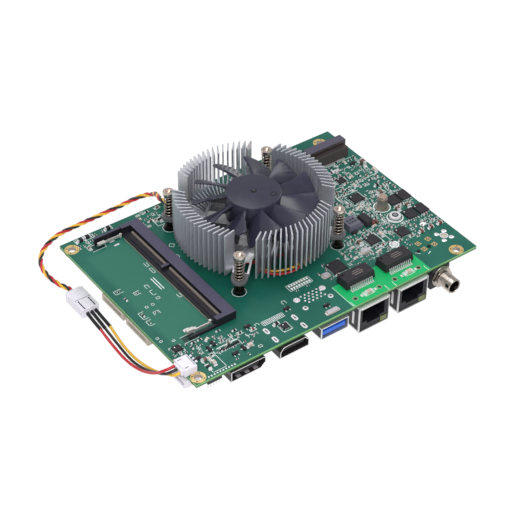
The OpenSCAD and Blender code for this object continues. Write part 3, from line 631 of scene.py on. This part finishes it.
def build_springs():
    turns, around, closed = 6, 18, 12  # coils, steps in a turn, steps of the flat end coils
    steps = (turns + 1)*around
    for corner in ("front_left", "front_right", "back_left", "back_right"):
        low, high = box_mm("cooler_spring_" + corner)
        x, y = plan_of(low, high)[:2]
        z0, z1 = low.z + 0.32, high.z - 0.32
        path = []
        for i in range(steps + 1):
            a = 2*math.pi*i/around
            t = min(max((i - closed)/(steps - 2*closed), 0), 1)
            flat = 0.25*(min(i, closed) + max(i - steps + closed, 0))/closed
            path.append((x + 1.93*math.cos(a), y + 1.93*math.sin(a), z0 + flat + (z1 - z0 - 0.5)*t))
        shape = Shape("spring")
        shape.tube(path, 0.29, "spring")
        spring = shape.piece("coil_spring_" + corner, "spring_steel", None, crease=60)
        at(x, y, low.z)
        at(x, y, high.z)
        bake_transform(spring)
        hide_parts("cooler_spring_" + corner)


# ---- soldered parts ----
KINDS = {  # small two-ended parts: length, width, height and body material
    "c": (1.6, 0.85, 0.8, "brown"), "b": (1.6, 0.85, 0.8, "rust"), "r": (1.6, 0.85, 0.5, "resistor"),
    "R": (2.6, 1.6, 0.7, "resistor"), "t": (1, 0.55, 0.5, "brown"), "q": (1, 0.55, 0.4, "resistor"),
    "p": (2.2, 1.6, 1.2, "cream"), "d": (2.4, 1.4, 1, "resistor"), "w": (1.8, 1.2, 0.6, "cream"),
}
SMALL_PARTS = {  # places of the small two-ended parts, by kind and turn
    ("r", 90): [(-68, -6.3), (-68.5, 6), (-62.5, -33.5), (55.5, 27.5), (63.5, 16.5), (67.8, 8.8),
        (71, 4.6), (42, 6.5)],
    ("q", 90): [(-68, -11.5), (-64.2, -35.8), (39.8, 1.6), (-25.6, 41.2), (-26.6, 47.4),
        (-46, -49.6)],
    ("q", 0): [(-62.5, -7.8), (-68.5, 12), (-62.5, 7), (-58.6, -34.3), (-51.8, -33), (-7.5, -30.5),
        (-2, -30.5), (-57, 50.2), (-66.3, 46.6), (-30.6, 47), (24.6, -31.6), (11.2, -23.6),
        (-51.5, -49.3), (-48.4, -42.9)],
    ("r", 0): [(-57.5, -31.5), (-48.5, -31.5), (57.5, 19), (67, 28), (65.5, 11)],
    ("w", 30): [(-55, -33)],
    ("t", 0): [(-66, -34.5), (-63.4, -30.6), (34.2, -18), (49.7, -19.8), (51.6, -31.4),
        (63, -23.2), (61.5, 28), (63.6, 21.6), (66, 22.6), (38.2, 0.4), (38.6, 2.6), (-56.8, 48.9),
        (-33.2, 45.6), (24.6, -22.4), (23, -29), (27.4, -30.8), (9, -33)],
    ("t", 90): [(-70.9, -33.4), (-52.2, -34), (48, -26), (-53, 49.8), (-66.8, 45.2), (27.6, -25.2),
        (10.4, -26.8), (6, -27.4), (-40.6, -44.2)],
    ("R", 90): [(-63.5, -46.5), (-28, 42)],
    ("p", 90): [(-60.5, -46), (44.3, -22.5), (71.6, 15.5)],
    ("w", 90): [(-60.6, -42.8), (64, 28)],
    ("d", 0): [(-27, -42)],
    ("p", 0): [(-43, -46)],
    ("w", 0): [(28.5, -22), (45.8, -15.9), (59.5, 17.5), (-35.6, 47.2), (25.6, -28.2)],
    ("c", 0): [(31.2, -18.2), (48.4, -30.2), (12.4, -32.4)],
    ("c", 90): [(51.2, -20.4), (58.9, -24), (60.4, -26), (70, 28.5), (71, 8.5), (71, 1),
        (41.3, -0.6), (22.3, -24.2), (24.4, -25.6)],
    ("b", 0): [(69.3, -22.6), (46.5, 12)],
}
# Three-legged parts: x, y, turn
TRANSISTORS = [(-37.5, -36.5, 0), (-18, -37, 0), (-3.5, -45, 0), (-50.5, -46.5, 0),
               (-46, -45.8, 90), (-54.6, -36.8, 90), (-57.6, -38.3, 90), (66.4, 25, 0),
               (48.2, 24.8, 90), (35.6, -14.9, 0), (-64.4, -40.2, 0)]
# Zones filled with small parts: left, front, right, back, how many
ZONES = [(47.2, -15.4, 55.4, 2, 30), (59, -4, 72.4, 4.8, 22), (59.5, -13, 72.4, -10.6, 10),
         (46.5, 9, 72.4, 29.8, 62), (36, 5.5, 47, 28, 34), (28, -20.5, 56, -15.4, 24),
         (34.2, -36, 58, -27.5, 26), (47.5, -24.5, 58, -16, 12), (21, -33.5, 34.5, -20, 18),
         (-72, -38, -49, -31.2, 36), (-59, -44, -36, -34.5, 16), (57.5, -30, 72.4, -21.4, 16),
         (-66, 40, -49, 50.6, 10), (-36, 41, -24, 50.6, 12), (36, -8, 60, 5, 20),
         (14, 42, 46, 50.5, 30), (33, 29, 46, 42, 14)]
LARGE_PARTS = ("integrated_circuits", "power_inductors", "power_transistors", "crystals",
               "chip_passives", "lan_transformers", "card_socket", "card_standoff", "card_nut",
               "memory_socket", "fan_header")


def two_ended(parts, pads, x, y, kind, turn):
    """Ceramic body with tinned ends on two solder pads."""
    length, width, height, mat = KINDS[kind]
    parts.block(x, y, length*0.62, width*0.98, 0, height, mat, turn, 0.04)
    for side in (-1, 1):
        end = turned(x, y, turn, side*length*0.4, 0)
        parts.block(*end, length*0.22, width, 0, height + 0.02, "tin", turn, 0.05)
        end = turned(x, y, turn, side*length*0.52, 0)
        pads.pad(*end, length*0.42, width*1.12, 0.1, "tin", turn, 0.12)


def three_legged(parts, x, y, turn):
    parts.block(x, y, 2.9, 1.35, 0.12, 1, "chip", turn, 0.12)
    for u, v in ((-0.95, -1), (0.95, -1), (0, 1)):
        parts.pad(*turned(x, y, turn, u, v), 0.45, 0.9, 0.28, "tin", turn, 0.05)


def around(x, y, half_x, half_y):
    return (x - half_x, y - half_y), (x + half_x, y + half_y)


def free_of(taken, low, high):
    """Whether a rectangle keeps clear of all those taken."""
    gap = 0.25
    return not any(a[0] - gap < high[0] and low[0] < b[0] + gap
                   and a[1] - gap < high[1] and low[1] < b[1] + gap for a, b in taken)


def build_small_parts():
    """Resistors, capacitors and transistors: those listed one by one, then the crowded zones."""
    parts = Shape("brown", "rust", "resistor", "cream", "tin", "chip")
    pads = Shape("tin", "silk")
    taken = [((51.5, -44), (72.5, -33)), ((59.5, 42), (70.5, 52))]
    for node in LARGE_PARTS:
        taken += solids_of(node)
    taken += [around(x, y, 3.2, 3.2) for x, y in SCREWS]
    for (kind, turn), places in SMALL_PARTS.items():
        for x, y in places:
            two_ended(parts, pads, x, y, kind, turn)
            taken.append(around(x, y, 1.2, 1.2))
    for x, y, turn in TRANSISTORS:
        three_legged(parts, x, y, turn)
        taken.append(around(x, y, 1.7, 1.7))
    dice = random.Random(4)
    for x0, y0, x1, y1, count in ZONES:
        placed = 0
        for _ in range(count*14):
            if placed >= count:
                break
            kind = dice.choice("ccrtqtqtqwrcbqt")
            turn = dice.choice((0, 90))
            x = round(dice.uniform(x0, x1)*2)/2
            y = round(dice.uniform(y0, y1)*2)/2
            length, width = KINDS[kind][:2]
            hx, hy = (length*0.75, width*0.6) if turn == 0 else (width*0.6, length*0.75)
            room = around(x, y, hx, hy)
            if x + hx > 72.3 or not free_of(taken, *room):
                continue
            taken.append(room)
            if dice.random() < 0.22:
                for side in (-1, 1):
                    pads.pad(*turned(x, y, turn, side*length*0.45, 0), 0.6, 0.6, 0.05, taper=0.05)
            else:
                two_ended(parts, pads, x, y, kind, turn)
            if dice.random() < 0.6:
                pads.frame(x, y, 2*hx + 0.5, 2*hy + 0.5, 0.16, dice.choice(("ns", "ew", "", "n")))
            placed += 1
    parts.piece("small_parts", "ceramic_brown", bevel=0.05)
    pads.piece("solder_pads", "solder_tin")


def capacitor_mat(y):
    """Material of a large capacitor, by its row on the board."""
    if y < -47:
        return "cream"
    if -33 < y < -29:
        return "rust"
    return "resistor" if 5 < y < 7 or y > 45 else "brown"


def build_listed_parts():
    """Detailed bodies for the boxes that stand for the larger soldered parts."""
    caps = Shape("brown", "rust", "cream", "resistor", "tin")
    for a, b in solids_of("chip_passives"):
        x, y, lx, ly = plan_of(a, b)
        turn, long, wide = (0, lx, ly) if lx > ly else (90, ly, lx)
        caps.block(x, y, long*0.64, wide, 0, b[2] - 0.03, capacitor_mat(y), turn, 0.06)
        for side in (-1, 1):
            end = turned(x, y, turn, side*long*0.4, 0)
            caps.block(*end, long*0.2, wide, 0, b[2], "tin", turn, 0.08)
            end = turned(x, y, turn, side*long*0.56, 0)
            caps.pad(*end, long*0.3, wide*1.1, 0.12, "tin", turn, 0.1)
    caps.piece("large_capacitors", "ceramic_brown", bevel=0.08, instead_of="chip_passives")
    coils = Shape("inductor", "tin", "chip", "rust", "brown")
    for a, b in solids_of("power_inductors"):
        x, y, lx, ly = plan_of(a, b)
        mat = "inductor" if lx > 6 else "chip"
        coils.block(x, y, lx, ly, 0.1, b[2]*0.55, mat)
        coils.block(x, y, lx - 0.3, ly - 0.3, b[2]*0.55, b[2], mat, taper=0.35)
        for side in (-1, 1):
            coils.pad(x + side*(lx/2 - 0.5), y, 1.1, ly*0.4, 0.35)
        for dx in (-1.5, 0, 1.5) if mat == "inductor" else ():
            for dy in (-0.9, 0.8):
                coils.block(x + dx, y + dy, 0.9, 1, b[2] - 0.05, b[2], "chip")
    coils.block(45.9, -14.2, 1.6, 2.6, 0, 1.9, "rust", 0, 0.1)
    coils.block(48, -14.6, 1.2, 2.2, 0, 1.5, "brown", 0, 0.1)
    coils.piece("inductor_bodies", "inductor_grey", bevel=0.15, instead_of="power_inductors")
    cans = Shape("crystal", "tin", "cream")
    for a, b in solids_of("crystals"):
        x, y, lx, ly = plan_of(a, b)
        cans.block(x, y, lx, ly, 0, b[2]*0.45, "cream")
        cans.block(x, y, lx - 0.35, ly - 0.35, b[2]*0.45, b[2], "crystal", 0, 0.12)
        for side in (-1, 1):
            cans.pad(x + side*lx*0.5, y, lx*0.16, ly*0.7, 0.15)
    cans.piece("crystal_cans", "crystal_can", bevel=0.1, instead_of="crystals")


def build_transformers():
    shape = Shape("chip", "tin", "resistor", "contact")
    top = 1.9
    # Bent lead: out of the body, down, and along the pad
    profile = [(0, top), (0.45, top), (0.75, 0.16), (1.45, 0.16), (1.45, 0), (0.6, 0),
               (0.33, top - 0.18), (0, top - 0.18)]
    for a, b in solids_of("lan_transformers"):
        x, y, length, depth = plan_of(a, b)
        if length < 10:
            continue
        width = depth - 2.8
        shape.block(x, y, length, width, 0.4, top, "chip")
        shape.block(x, y, length - 0.2, width - 0.2, top, b[2], "chip", 0, 0.25)
        shape.disc(x - length/2 + 1.6, y + width/2 - 1.7, 0.55, b[2] - 0.05, b[2], "resistor", 16)
        for i in range(12):
            foot = x + (i - 5.5)*1.016
            for side in (-1, 1):
                wall = y + side*(width/2 - 0.05)
                shape.prism(profile, foot - 0.21, foot + 0.21, "tin", lambda u, v, w: (w, wall + side*u, v))
                shape.pad(foot, y + side*(width/2 + 1.15), 0.6, 1.5, 0.04)
        # Plain bars where the maker's marking would be
        for row, bar in enumerate((4, 5.5, 4.5)):
            shape.block(x + 0.8, y + 1.2 - 1.1*row, bar, 0.22, b[2] - 0.02, b[2] + 0.01, "contact")
    shape.piece("transformer_bodies", "chip_plastic", bevel=0.08, instead_of="lan_transformers")


def build_chip_legs():
    legs = Shape("tin", "silk")
    pitch = 0.65
    for a, b in solids_of("integrated_circuits"):
        x, y, lx, ly = plan_of(a, b)
        for turn, length, depth in ((0, lx, ly), (90, ly, lx)):
            count = int((length - 0.7)/pitch)
            for i in range(count):
                for side in (-1, 1):
                    foot = turned(x, y, turn, (i - (count - 1)/2)*pitch, side*(depth/2 + 0.12))
                    legs.pad(*foot, 0.32, 0.55, 0.14, "tin", turn)
        for sx, sy in CORNERS:
            cx, cy = x + sx*(lx/2 + 0.9), y + sy*(ly/2 + 0.9)
            legs.line(cx, cy, cx - sx, cy)
            legs.line(cx, cy, cx, cy - sy)
        legs.disc(x - lx/2 + 0.9, y + ly/2 - 0.9, 0.28, b[2] - 0.02, b[2] + 0.01, "silk", 12)
    for a, b in solids_of("power_transistors"):
        x, y, _, ly = plan_of(a, b)
        for i in range(4):
            for side in (-1, 1):
                legs.pad(x + (i - 1.5)*1.27, y + side*(ly/2 + 0.15), 0.6, 0.8, 0.25, taper=0.05)
        legs.disc(x - 1.7, y + 2, 0.3, b[2] - 0.02, b[2] + 0.01, "silk", 12)
    legs.piece("chip_leads", "solder_tin")


# ---- printing and pads on the board ----
OUTLINES = (  # printed frames: x, y, length, width
    (-68, -6.3, 2.4, 4.4), (-68, -11.5, 2.4, 3.2), (-68.5, 12, 3.6, 2.2), (-64, -2.7, 1.2, 1.2),
    (-61, -2.7, 1.2, 1.2), (-57, -0.5, 1.6, 1.2), (-48.9, -4.3, 1.4, 2.4), (-57, 3.5, 1.4, 3),
    (-57, 8, 1.4, 2.2), (-49.4, 15.4, 1.2, 3.4), (-49.4, 20, 1.2, 2.6), (-62.5, -7.8, 2.6, 2),
    (-62.5, 7, 2.6, 2), (-33.5, -37.5, 1.6, 1.2), (-39.5, -41.3, 1.6, 1.2),
    (-39.7, -48.5, 1.6, 1.2), (-16.5, -33, 1.6, 1.8), (-56, -41, 1.6, 1.4),
    (-60.4, -45.2, 6.4, 9.6), (-25, -45.2, 4.4, 5), (-50, -41.5, 10.4, 3.4),
    (31.5, -26.9, 5.6, 4.6), (54, 18, 5.4, 5.2), (51.4, 3.7, 7.6, 7.2), (-64, 49.8, 4.8, 3),
    (-60, 50, 4.6, 3), (-28, 42, 6, 6.6))
MARK_ROWS = ((48, 56, 8.4), (48, 56, 9.9), (46.2, 69, 29.8), (44.5, 47, 9), (60, 72, 13.4),
             (48, 54, 14.4), (50, 57, 12.2), (58, 63, 24.4), (36, 42, 9.6), (35, 39, 14.2))
MARK_COLUMNS = ((34.9, -26, -20), (42.6, -27, -19), (45.5, -27, -19), (46.4, 2, 6), (44.5, 4, 9))


def mark_memory_area(ink):
    for x in (-52.9, -51.7):
        ink.line(x, 3.2, x, 11.2, 0.4)
    ink.frame(-33.5, 24.5, 2, 2, 0.2, turn=45)
    ink.ring(-36.2, 17, 1.5, 1.25, PRINT_TOP, "silk")
    ink.ring(-36.2, 17, 0.6, 0.4, PRINT_TOP, "silk", 14)
    for x, y in ((-70.8, -21), (-70.6, -23.3), (-66.2, -25.8)):
        ink.frame(x, y, 1.2, 0.9, 0.2)
    for y in (-28, 42):
        ink.pad(-60, y, 6.2, 3.4, 0.02, "slot_green")
        ink.frame(-60, y, 6.7, 3.9, 0.18, "w")
    # White lands beside the two latches
    for x, y, lx, ly in ((-58.5, -23.6, 3.4, 2.4), (-55.2, -24.4, 2, 1.6), (-58, 46.6, 3.4, 2.4),
                         (-53, 42, 3, 2.6), (-54.4, 46.2, 2, 1.6), (-52.6, 38.4, 3.2, 1.2)):
        ink.pad(x, y, lx*0.8, ly*0.7, 0.12, taper=0.05)


def mark_front_left(ink):
    """Lands of the pin header, the video port and the fine-pitch parts."""
    for i in range(10):
        ink.dot(-66.5 + 1.39*i, -51, 0.42, 0.12, "tin", 12, 0.3)
    for x, y in ((-32.7, -43), (-32.7, -49), (-18.4, -43), (-18.2, -49)):
        angles = [math.pi/10*(k + 0.5) for k in range(20)]
        oval = [(x + 0.95*math.cos(a), y + 0.9*math.copysign(1, math.sin(a)) + 0.95*math.sin(a))
                for a in angles]
        ink.prism(oval, SUNK, 0.14, "tin")
        ink.block(x, y, 0.5, 1.9, 0.1, 0.16, "resistor")
    for i in range(12):
        ink.pad(-30.8 + 0.82*i, -38.7, 0.42, 1.7, 0.05)
    ink.frame(-26.3, -38.7, 10.6, 2.4, 0.18)
    for i in range(8):
        x = -8.8 + 1.32*i
        for y in (-26.5, -28.3):
            ink.pad(x, y, 0.8, 1.2, 0.2, "silk")
        ink.pad(x, -27.4, 0.6, 0.5, 0.2, "resistor")
    ink.frame(-4.2, -27.4, 11.6, 3.8, 0.2)
    for i in range(11):
        x = -54 + 0.85*i
        ink.block(x, -41.5, 0.5, 1.3, 0, 0.4, "resistor")
        ink.pad(x, -42.4, 0.34, 0.5, 0.06)
    ink.line(-54.6, -39.6, -45, -39.6)


def mark_ports(ink):
    # USB port: four round lands, two of them grey, and the pin field between them
    for x, y, r in ((-11.3, -35, 1.5), (2, -35, 1.5), (-11.3, -41, 1.25), (1.8, -41, 1.25)):
        ink.dot(x, y, r, 0.14, "tin", 24, r - 0.2)
        ink.disc(x, y, 0.5, 0.1, 0.17, "resistor" if y < -38 else "tin", 12)
    for row in range(4):
        for i in range(5):
            x = -8.6 + 2.05*i + (0.9 if row % 2 else 0)
            ink.dot(x, -34.2 - 1.55*row, 0.48, 0.1, "tin", 12, 0.36)
    # Network ports: peg holes, white lands and printed corners
    for x in (9.1, 21.7, 30.3, 43.3):
        ink.ring(x, -48.3, 1.2, 0.9, 0.04, "contact", 24)
        ink.disc(x, -48.3, 0.84, -0.6, -0.4, "resistor")
    for x in (6, 24.2, 28.2, 45.8):
        ink.line(x, -52, x, -48.9)
    for x in (12.4, 19.7, 34, 41.5):
        ink.pad(x, -48.4, 1, 1.4, 0.05)
    for x in (16, 37.8):
        ink.frame(x, -48.4, 5.2, 2.6)
    ink.line(5.4, -37.4, 5.4, -51.6, 0.16)


def mark_right(ink):
    # Gold through holes and their slanted marks
    for x, y in ((53.4, -36.2), (59, -36.2), (53.3, -40.5), (59, -40.5)):
        ink.pad(x, y, 2.3, 2.3, 0.05, "gold", 10)
        ink.disc(x, y, 0.8, 0.03, 0.07, "resistor", 16)
        ink.disc(x, y, 0.42, 0.06, 0.09, "cream", 16)
    ink.line(48.6, -40.4, 49.9, -41.8, 0.3)
    ink.line(52.8, -43.9, 54.4, -43.2, 0.3)
    for x, y in ((64.2, -36), (68.3, -36), (64.2, -41), (68.3, -41)):
        ink.dot(x, y, 1.15, 0.12, "tin", 20, 0.95)
    ink.ring(66.3, -38.4, 1.9, 1.3, 0.06, "tin")
    ink.dot(66.3, -38.4, 1.2, 0.1, "cream", 20, 0.9)
    ink.ring(44.8, -30.6, 2.2, 1.7, 0.08, "silk")
    ink.dot(44.8, -30.6, 1.5, 0.5, "tin", 28, 1.2)
    # Print round the standoff and the nut
    ink.ring(57, -7.5, 3.95, 3.5, 0.05, "silk", 36)
    ink.ring(57, -16.5, 3.75, 3.35, 0.05, "silk", 36)
    ink.ring(57, -16.5, 3.2, 2.65, 0.53, "slot_green", 36, 0.45)
    ink.ring(57, -16.5, 1.5, 0.95, 1.53, "resistor", 28, 1.45)
    ink.pad(64, -27, 2.6, 2.2, 0.04, "silk", 20)
    for x, y0, y1 in MARK_COLUMNS:
        ink.line(x, y0, x, y1)
    for x0, x1, y in MARK_ROWS:
        ink.line(x0, y, x1, y)
    ink.pad(57, 25.3, 4, 2, 0.12, taper=0.05)


def build_board_marks():
    ink = Shape("silk", "tin", "gold", "slot_green", "resistor", "contact", "cream")
    # Mounting holes: gold on both faces, a lining, and four vias round each
    for x in (-HALF_L + 3, HALF_L - 8.8):
        for y in (-HALF_W + 3.2, HALF_W - 5.3):
            ink.ring(x, y, 3.2, 1.78, 0.05, "gold", 40)
            ink.ring(x, y, 3.2, 1.78, UNDER + 0.01, "gold", 40, UNDER - 0.05)
            ink.ring(x, y, 1.78, 1.6, 0.02, "contact", 40, UNDER - 0.02)
            for turn in (45, 135, 225, 315):
                ink.disc(*turned(x, y, turn, 2.45, 0), 0.32, 0.03, 0.065, "slot_green", 10)
    for x, y, lx, ly in OUTLINES:
        dice = random.Random(int(x*7 + y))
        ink.frame(x, y, lx, ly, 0.2, dice.choice(("", "n", "e", "s")))
    mark_memory_area(ink)
    mark_front_left(ink)
    mark_ports(ink)
    mark_right(ink)
    for x, y in SCREWS:
        ink.ring(x, y, 2.85, 2.32, 0.05, "slot_green", 32)
        ink.ring(x, y, 3.15, 2.95, PRINT_TOP, "silk", 32)
    ink.piece("board_print", "silkscreen_white")


# ---- connectors ----
SOCKET_KEY_Y = 12.2


def build_socket_detail():
    pins = Shape("tin", "contact", "socket_dark")
    low, high = box_mm("memory_socket")
    y0, y1, pitch = low.y + 3.4, high.y - 3.4, 0.6
    for i in range(int((y1 - y0)/pitch)):
        y = y0 + pitch*i
        pins.block(-37.7, y, 0.7, 0.24, 0, 0.28, "tin")
        pins.block(-47.85, y, 0.5, 0.24, 0, 0.24, "contact")
        if abs(y - SOCKET_KEY_Y) > 1.3:
            pins.block(-43.65, y, 0.9, 0.36, 1.25, 2.1, "contact")
            pins.block(-46.4, y, 1, 0.28, 1.2, 1.5, "socket_dark")
    pins.piece("memory_socket_pins", "contact_gold", instead_of="memory_contacts")


def build_connector_detail():
    plastic = Shape("nylon", "insert")
    low, high = box_mm("inline_socket")
    for x in (low.x + 1.6, high.x - 1.6):
        plastic.block(x, 24.2, 0.7, 6, high.z - 0.05, high.z, "nylon", 0, 0.1)
    # Snap arm along the side, and the collars that the wires leave through
    plastic.block(low.x, 29.5, 0.4, 9, low.z + 1.2, low.z + 3, "nylon", 0, 0.08)
    for (x, _, z), *_ in SLEEVES:
        plastic.block(x, 21.1, 1.7, 1.2, z - 1, z + 1.15, "nylon", 0, 0.1)
    plastic.block(-77.1, 27.9, 7.4, 0.3, high.z - 0.3, high.z, "insert")
    low, high = box_mm("fan_header")
    for y in (low.y + 1.3, high.y - 1.3):
        plastic.block(low.x + 1.6, y, 1.9, 0.35, high.z - 0.06, high.z + 0.01, "insert")
    for i in range(3):
        y = low.y + 2 + 1.9*i
        plastic.block(high.x - 0.9, y, 1, 0.8, high.z - 0.05, high.z + 0.5, "nylon", 0, 0.12)
    y = (low.y + high.y)/2
    plastic.block(high.x - 2.2, y, 0.25, 6.2, high.z - 0.05, high.z + 0.02, "insert")
    plastic.piece("connector_mouldings", "white_nylon", bevel=0.06)


def add_highlight_rim(bits, low, outline):
    """Bright edge round the mouth of a port: the lip is real, its bright tin colour a painted highlight; the
    outline is in x and z.
    """
    rim = [(x, low.y + 0.12, z) for x, z in outline]
    for a, b in zip(rim, rim[1:] + rim[:1]):
        bits.tube([a, b], 0.2, "tin")


def add_strips(bits, low, xs, half, y0, y1, z0, z1, mat="gold"):
    """Flat strips side by side, y0 to y1 behind the mouth of a port."""
    for x in xs:
        bits.box((x - half, low.y + y0, z0), (x + half, low.y + y1, z1), mat)


def add_shade_panel(bits, low, high, proud, edge, back, top):
    """Dark panel on the left side of a port, painted shade on that side of its shell."""
    bits.box((low.x - proud, low.y + edge, low.z + edge),
             (low.x + 0.1, high.y - back, high.z - top), "insert")


def build_port_detail():
    bits = Shape("gold", "led", "shell", "insert", "tin", "crystal")
    for node in ("lan_port_left", "lan_port_right"):
        low, high = box_mm(node)
        m = (low.x + high.x)/2
        xs = [m - 3.55 + 1.015*i for i in range(8)]
        add_strips(bits, low, xs, 0.17, 3, 12, high.z - 3.2, high.z - 2.95)
        bits.box((m + 3.8, low.y + 0.35, low.z + 0.55), (m + 7.2, low.y + 1.2, low.z + 3), "led")
        add_shade_panel(bits, low, high, 0.07, 0.9, 0.8, 0.8)
        # Spring fingers on the sides, and the front lip of the shield
        for y in (low.y + 4, low.y + 10.5):
            for x in (low.x, high.x):
                bits.block(x, y, 0.3, 1.3, low.z + 3, low.z + 9.6, "shell", 0, 0.05)
        bits.box((low.x + 0.6, low.y, high.z - 1.2), (high.x - 0.6, low.y + 0.5, high.z - 0.2), "shell")
    for node, drop in (("display_port_shell", 2.8), ("hdmi_shell", 2.4)):
        low, high = box_mm(node)
        left, right, foot, roof = low.x + 0.2, high.x - 0.2, low.z + 0.2, high.z - 0.2
        if node == "hdmi_shell":
            outline = [(left, foot), (right, foot), (right, roof - 2), (right - 1.8, roof),
                       (left + 1.8, roof), (left, roof - 2)]
        else:
            outline = [(left, foot), (right - 2.1, foot), (right, foot + 1.9), (right, roof - 0.8),
                       (right - 0.7, roof), (left, roof)]
            xs = [low.x + 4.2 + (high.x - low.x - 8.6)*k/2 for k in range(3)]
            add_strips(bits, low, xs, 1, 0.6, 7.5, low.z + 0.38, low.z + 0.7, "crystal")
        add_highlight_rim(bits, low, outline)
        add_shade_panel(bits, low, high, 0.05, 0.5, 0.5, 2.3)
        xs = [low.x + 3.4 + (high.x - low.x - 7.6)*i/8 for i in range(9)]
        add_strips(bits, low, xs, 0.18, 1.2, 6, high.z - drop, high.z - drop + 0.12)
    low, high = box_mm("usb_shell")
    left, right, foot, roof = low.x + 0.2, high.x - 0.2, low.z + 0.2, high.z - 0.2
    add_highlight_rim(bits, low, [(left, foot), (right, foot), (right, roof), (left, roof)])
    add_shade_panel(bits, low, high, 0.06, 0.6, 0.6, 0.6)
    xs = [low.x + 3.5 + 2.35*i for i in range(4)]
    add_strips(bits, low, xs, 0.5, 3.4, 8.4, low.z + 3.35, low.z + 3.45)
    bits.piece("port_contacts", "contact_gold", bevel=0.03)


def build_jack():
    """Threaded barrel with crests and roots, behind a plain rim."""
    low, high = box_mm("power_jack_barrel")
    cx, cz = (low.x + high.x)/2, (low.z + high.z)/2
    crest, root, bore, neck = 3.44, 3.18, 2.75, 3.1
    y_nut, pitch = -54.2, 0.55
    profile = [(bore, low.y + 0.25), (bore + 0.25, low.y), (crest - 0.25, low.y),
               (crest, low.y + 0.25), (crest, low.y + 2.3)]
    y = low.y + 2.3
    while y < y_nut - 0.7:
        profile += [(root, y + 0.2), (root, y + 0.3), (crest, y + 0.5), (crest, y + pitch)]
        y += pitch
    profile += [(neck, y_nut), (neck, high.y), (bore, high.y)]
    shape = Shape("nickel")
    shape.lathe(profile, "nickel", sides=48, loop=True, along=lambda u, v, w: (cx + u, w, cz + v))
    shape.piece("jack_threaded_barrel", "nickel_plate", crease=30, instead_of="power_jack_barrel")


def build_pin_header():
    low, high = box_mm("pin_header")
    shape = Shape("insert", "tin")
    for i in range(5):
        x, y = -66.5 + 1.37*i, -50.3
        shape.block(x, y, 1.3, 2.1, UNDER - 2.2, UNDER, "insert")
        shape.block(x, y, 0.42, 0.42, low.z + 0.3, high.z, "tin")
        shape.block(x, y, 0.3, 0.3, low.z, low.z + 0.3, "tin")
    shape.piece("header_pins", "black_plastic", bevel=0.08, instead_of="pin_header")


def build_underside():
    """Solder joints and small parts on the face that looks down."""
    shape = Shape("tin", "brown", "resistor", "chip")
    dice = random.Random(11)
    for _ in range(70):
        x, y = dice.uniform(-60, 66), dice.uniform(-32, 46)
        if abs(x - COOLER[0]) < 32 and abs(y - COOLER[1]) < 32:
            continue
        length, width = dice.choice(((1.6, 0.85), (1, 0.55), (2.2, 1.3)))
        shape.block(x, y, length*0.6, width, UNDER - 0.7, UNDER, dice.choice(("brown", "resistor")))
        for side in (-1, 1):
            end = x + side*length*0.42
            shape.block(end, y, length*0.26, width, UNDER - 0.72, UNDER + 0.01, "tin")
    for x, y in ((40, 20), (48, -20), (-52, -14), (-50, 28)):
        shape.block(x, y, 6, 5, UNDER - 1, UNDER - 0.1, "chip")
        for i in range(7):
            for side in (-1, 1):
                foot = (x + (i - 3)*0.8, y + side*2.8)
                shape.block(*foot, 0.35, 0.9, UNDER - 0.3, UNDER + 0.01, "tin")
    low, high = box_mm("memory_socket")
    for y in (low.y + 1.5, high.y - 1.5, SOCKET_KEY_Y):
        shape.disc(-42.5, y, 0.9, UNDER - 0.3, UNDER + 0.01, "tin", 16)
    shape.piece("underside_parts", "ceramic_brown", bevel=0.04)


# ---- stage ----
def build_stage():
    scene = bpy.context.scene
    size = 4
    mesh = bpy.data.meshes.new("floor")
    mesh.from_pydata([(sx*size, sy*size, FLOOR_Z) for sx, sy in CORNERS], [], [(0, 1, 2, 3)])
    mesh.materials.append(MAT["stage"])
    bsdf = MAT["stage"].node_tree.nodes["Principled BSDF"]
    bsdf.inputs["Emission Color"].default_value = (1, 1, 1, 1)
    bsdf.inputs["Emission Strength"].default_value = 0.97
    floor = bpy.data.objects.new("floor", mesh)
    scene.collection.objects.link(floor)
    scene.world = bpy.data.worlds.new("studio")
    scene.world.use_nodes = True
    background = scene.world.node_tree.nodes["Background"]
    background.inputs["Color"].default_value = (1, 1, 1, 1)
    background.inputs["Strength"].default_value = 0.5
    for name, place, size, power in (("key", (-0.4, -0.42, 0.58), 0.45, 3.6),
                                     ("overhead", (0, 0.25, 0.75), 0.6, 2.4),
                                     ("right", (0.7, 0.1, 0.35), 0.3, 0.9),
                                     ("front", (0.1, -0.8, 0.35), 0.4, 1)):
        data = bpy.data.lights.new(name, "AREA")
        data.size = size
        data.energy = power
        lamp = bpy.data.objects.new(name, data)
        lamp.location = place
        lamp.rotation_euler = (-Vector(place)).to_track_quat("-Z", "Y").to_euler()
        scene.collection.objects.link(lamp)
    scene.view_settings.view_transform = "Standard"
    data = bpy.data.cameras.new("camera")
    data.lens = 110.33
    data.sensor_width = 36
    camera = bpy.data.objects.new("camera", data)
    camera.location = (-0.30965, -0.41341, 0.43212)
    camera.rotation_euler = [math.radians(a) for a in (49.954, -0.472, -36.04)]
    scene.collection.objects.link(camera)
    scene.camera = camera


for build in (build_stage, build_cords, dress_frame, build_rotor, build_springs, build_small_parts,
              build_listed_parts, build_transformers, build_chip_legs, build_board_marks,
              build_socket_detail, build_connector_detail, build_port_detail, build_jack,
              build_pin_header, build_underside):
    build()
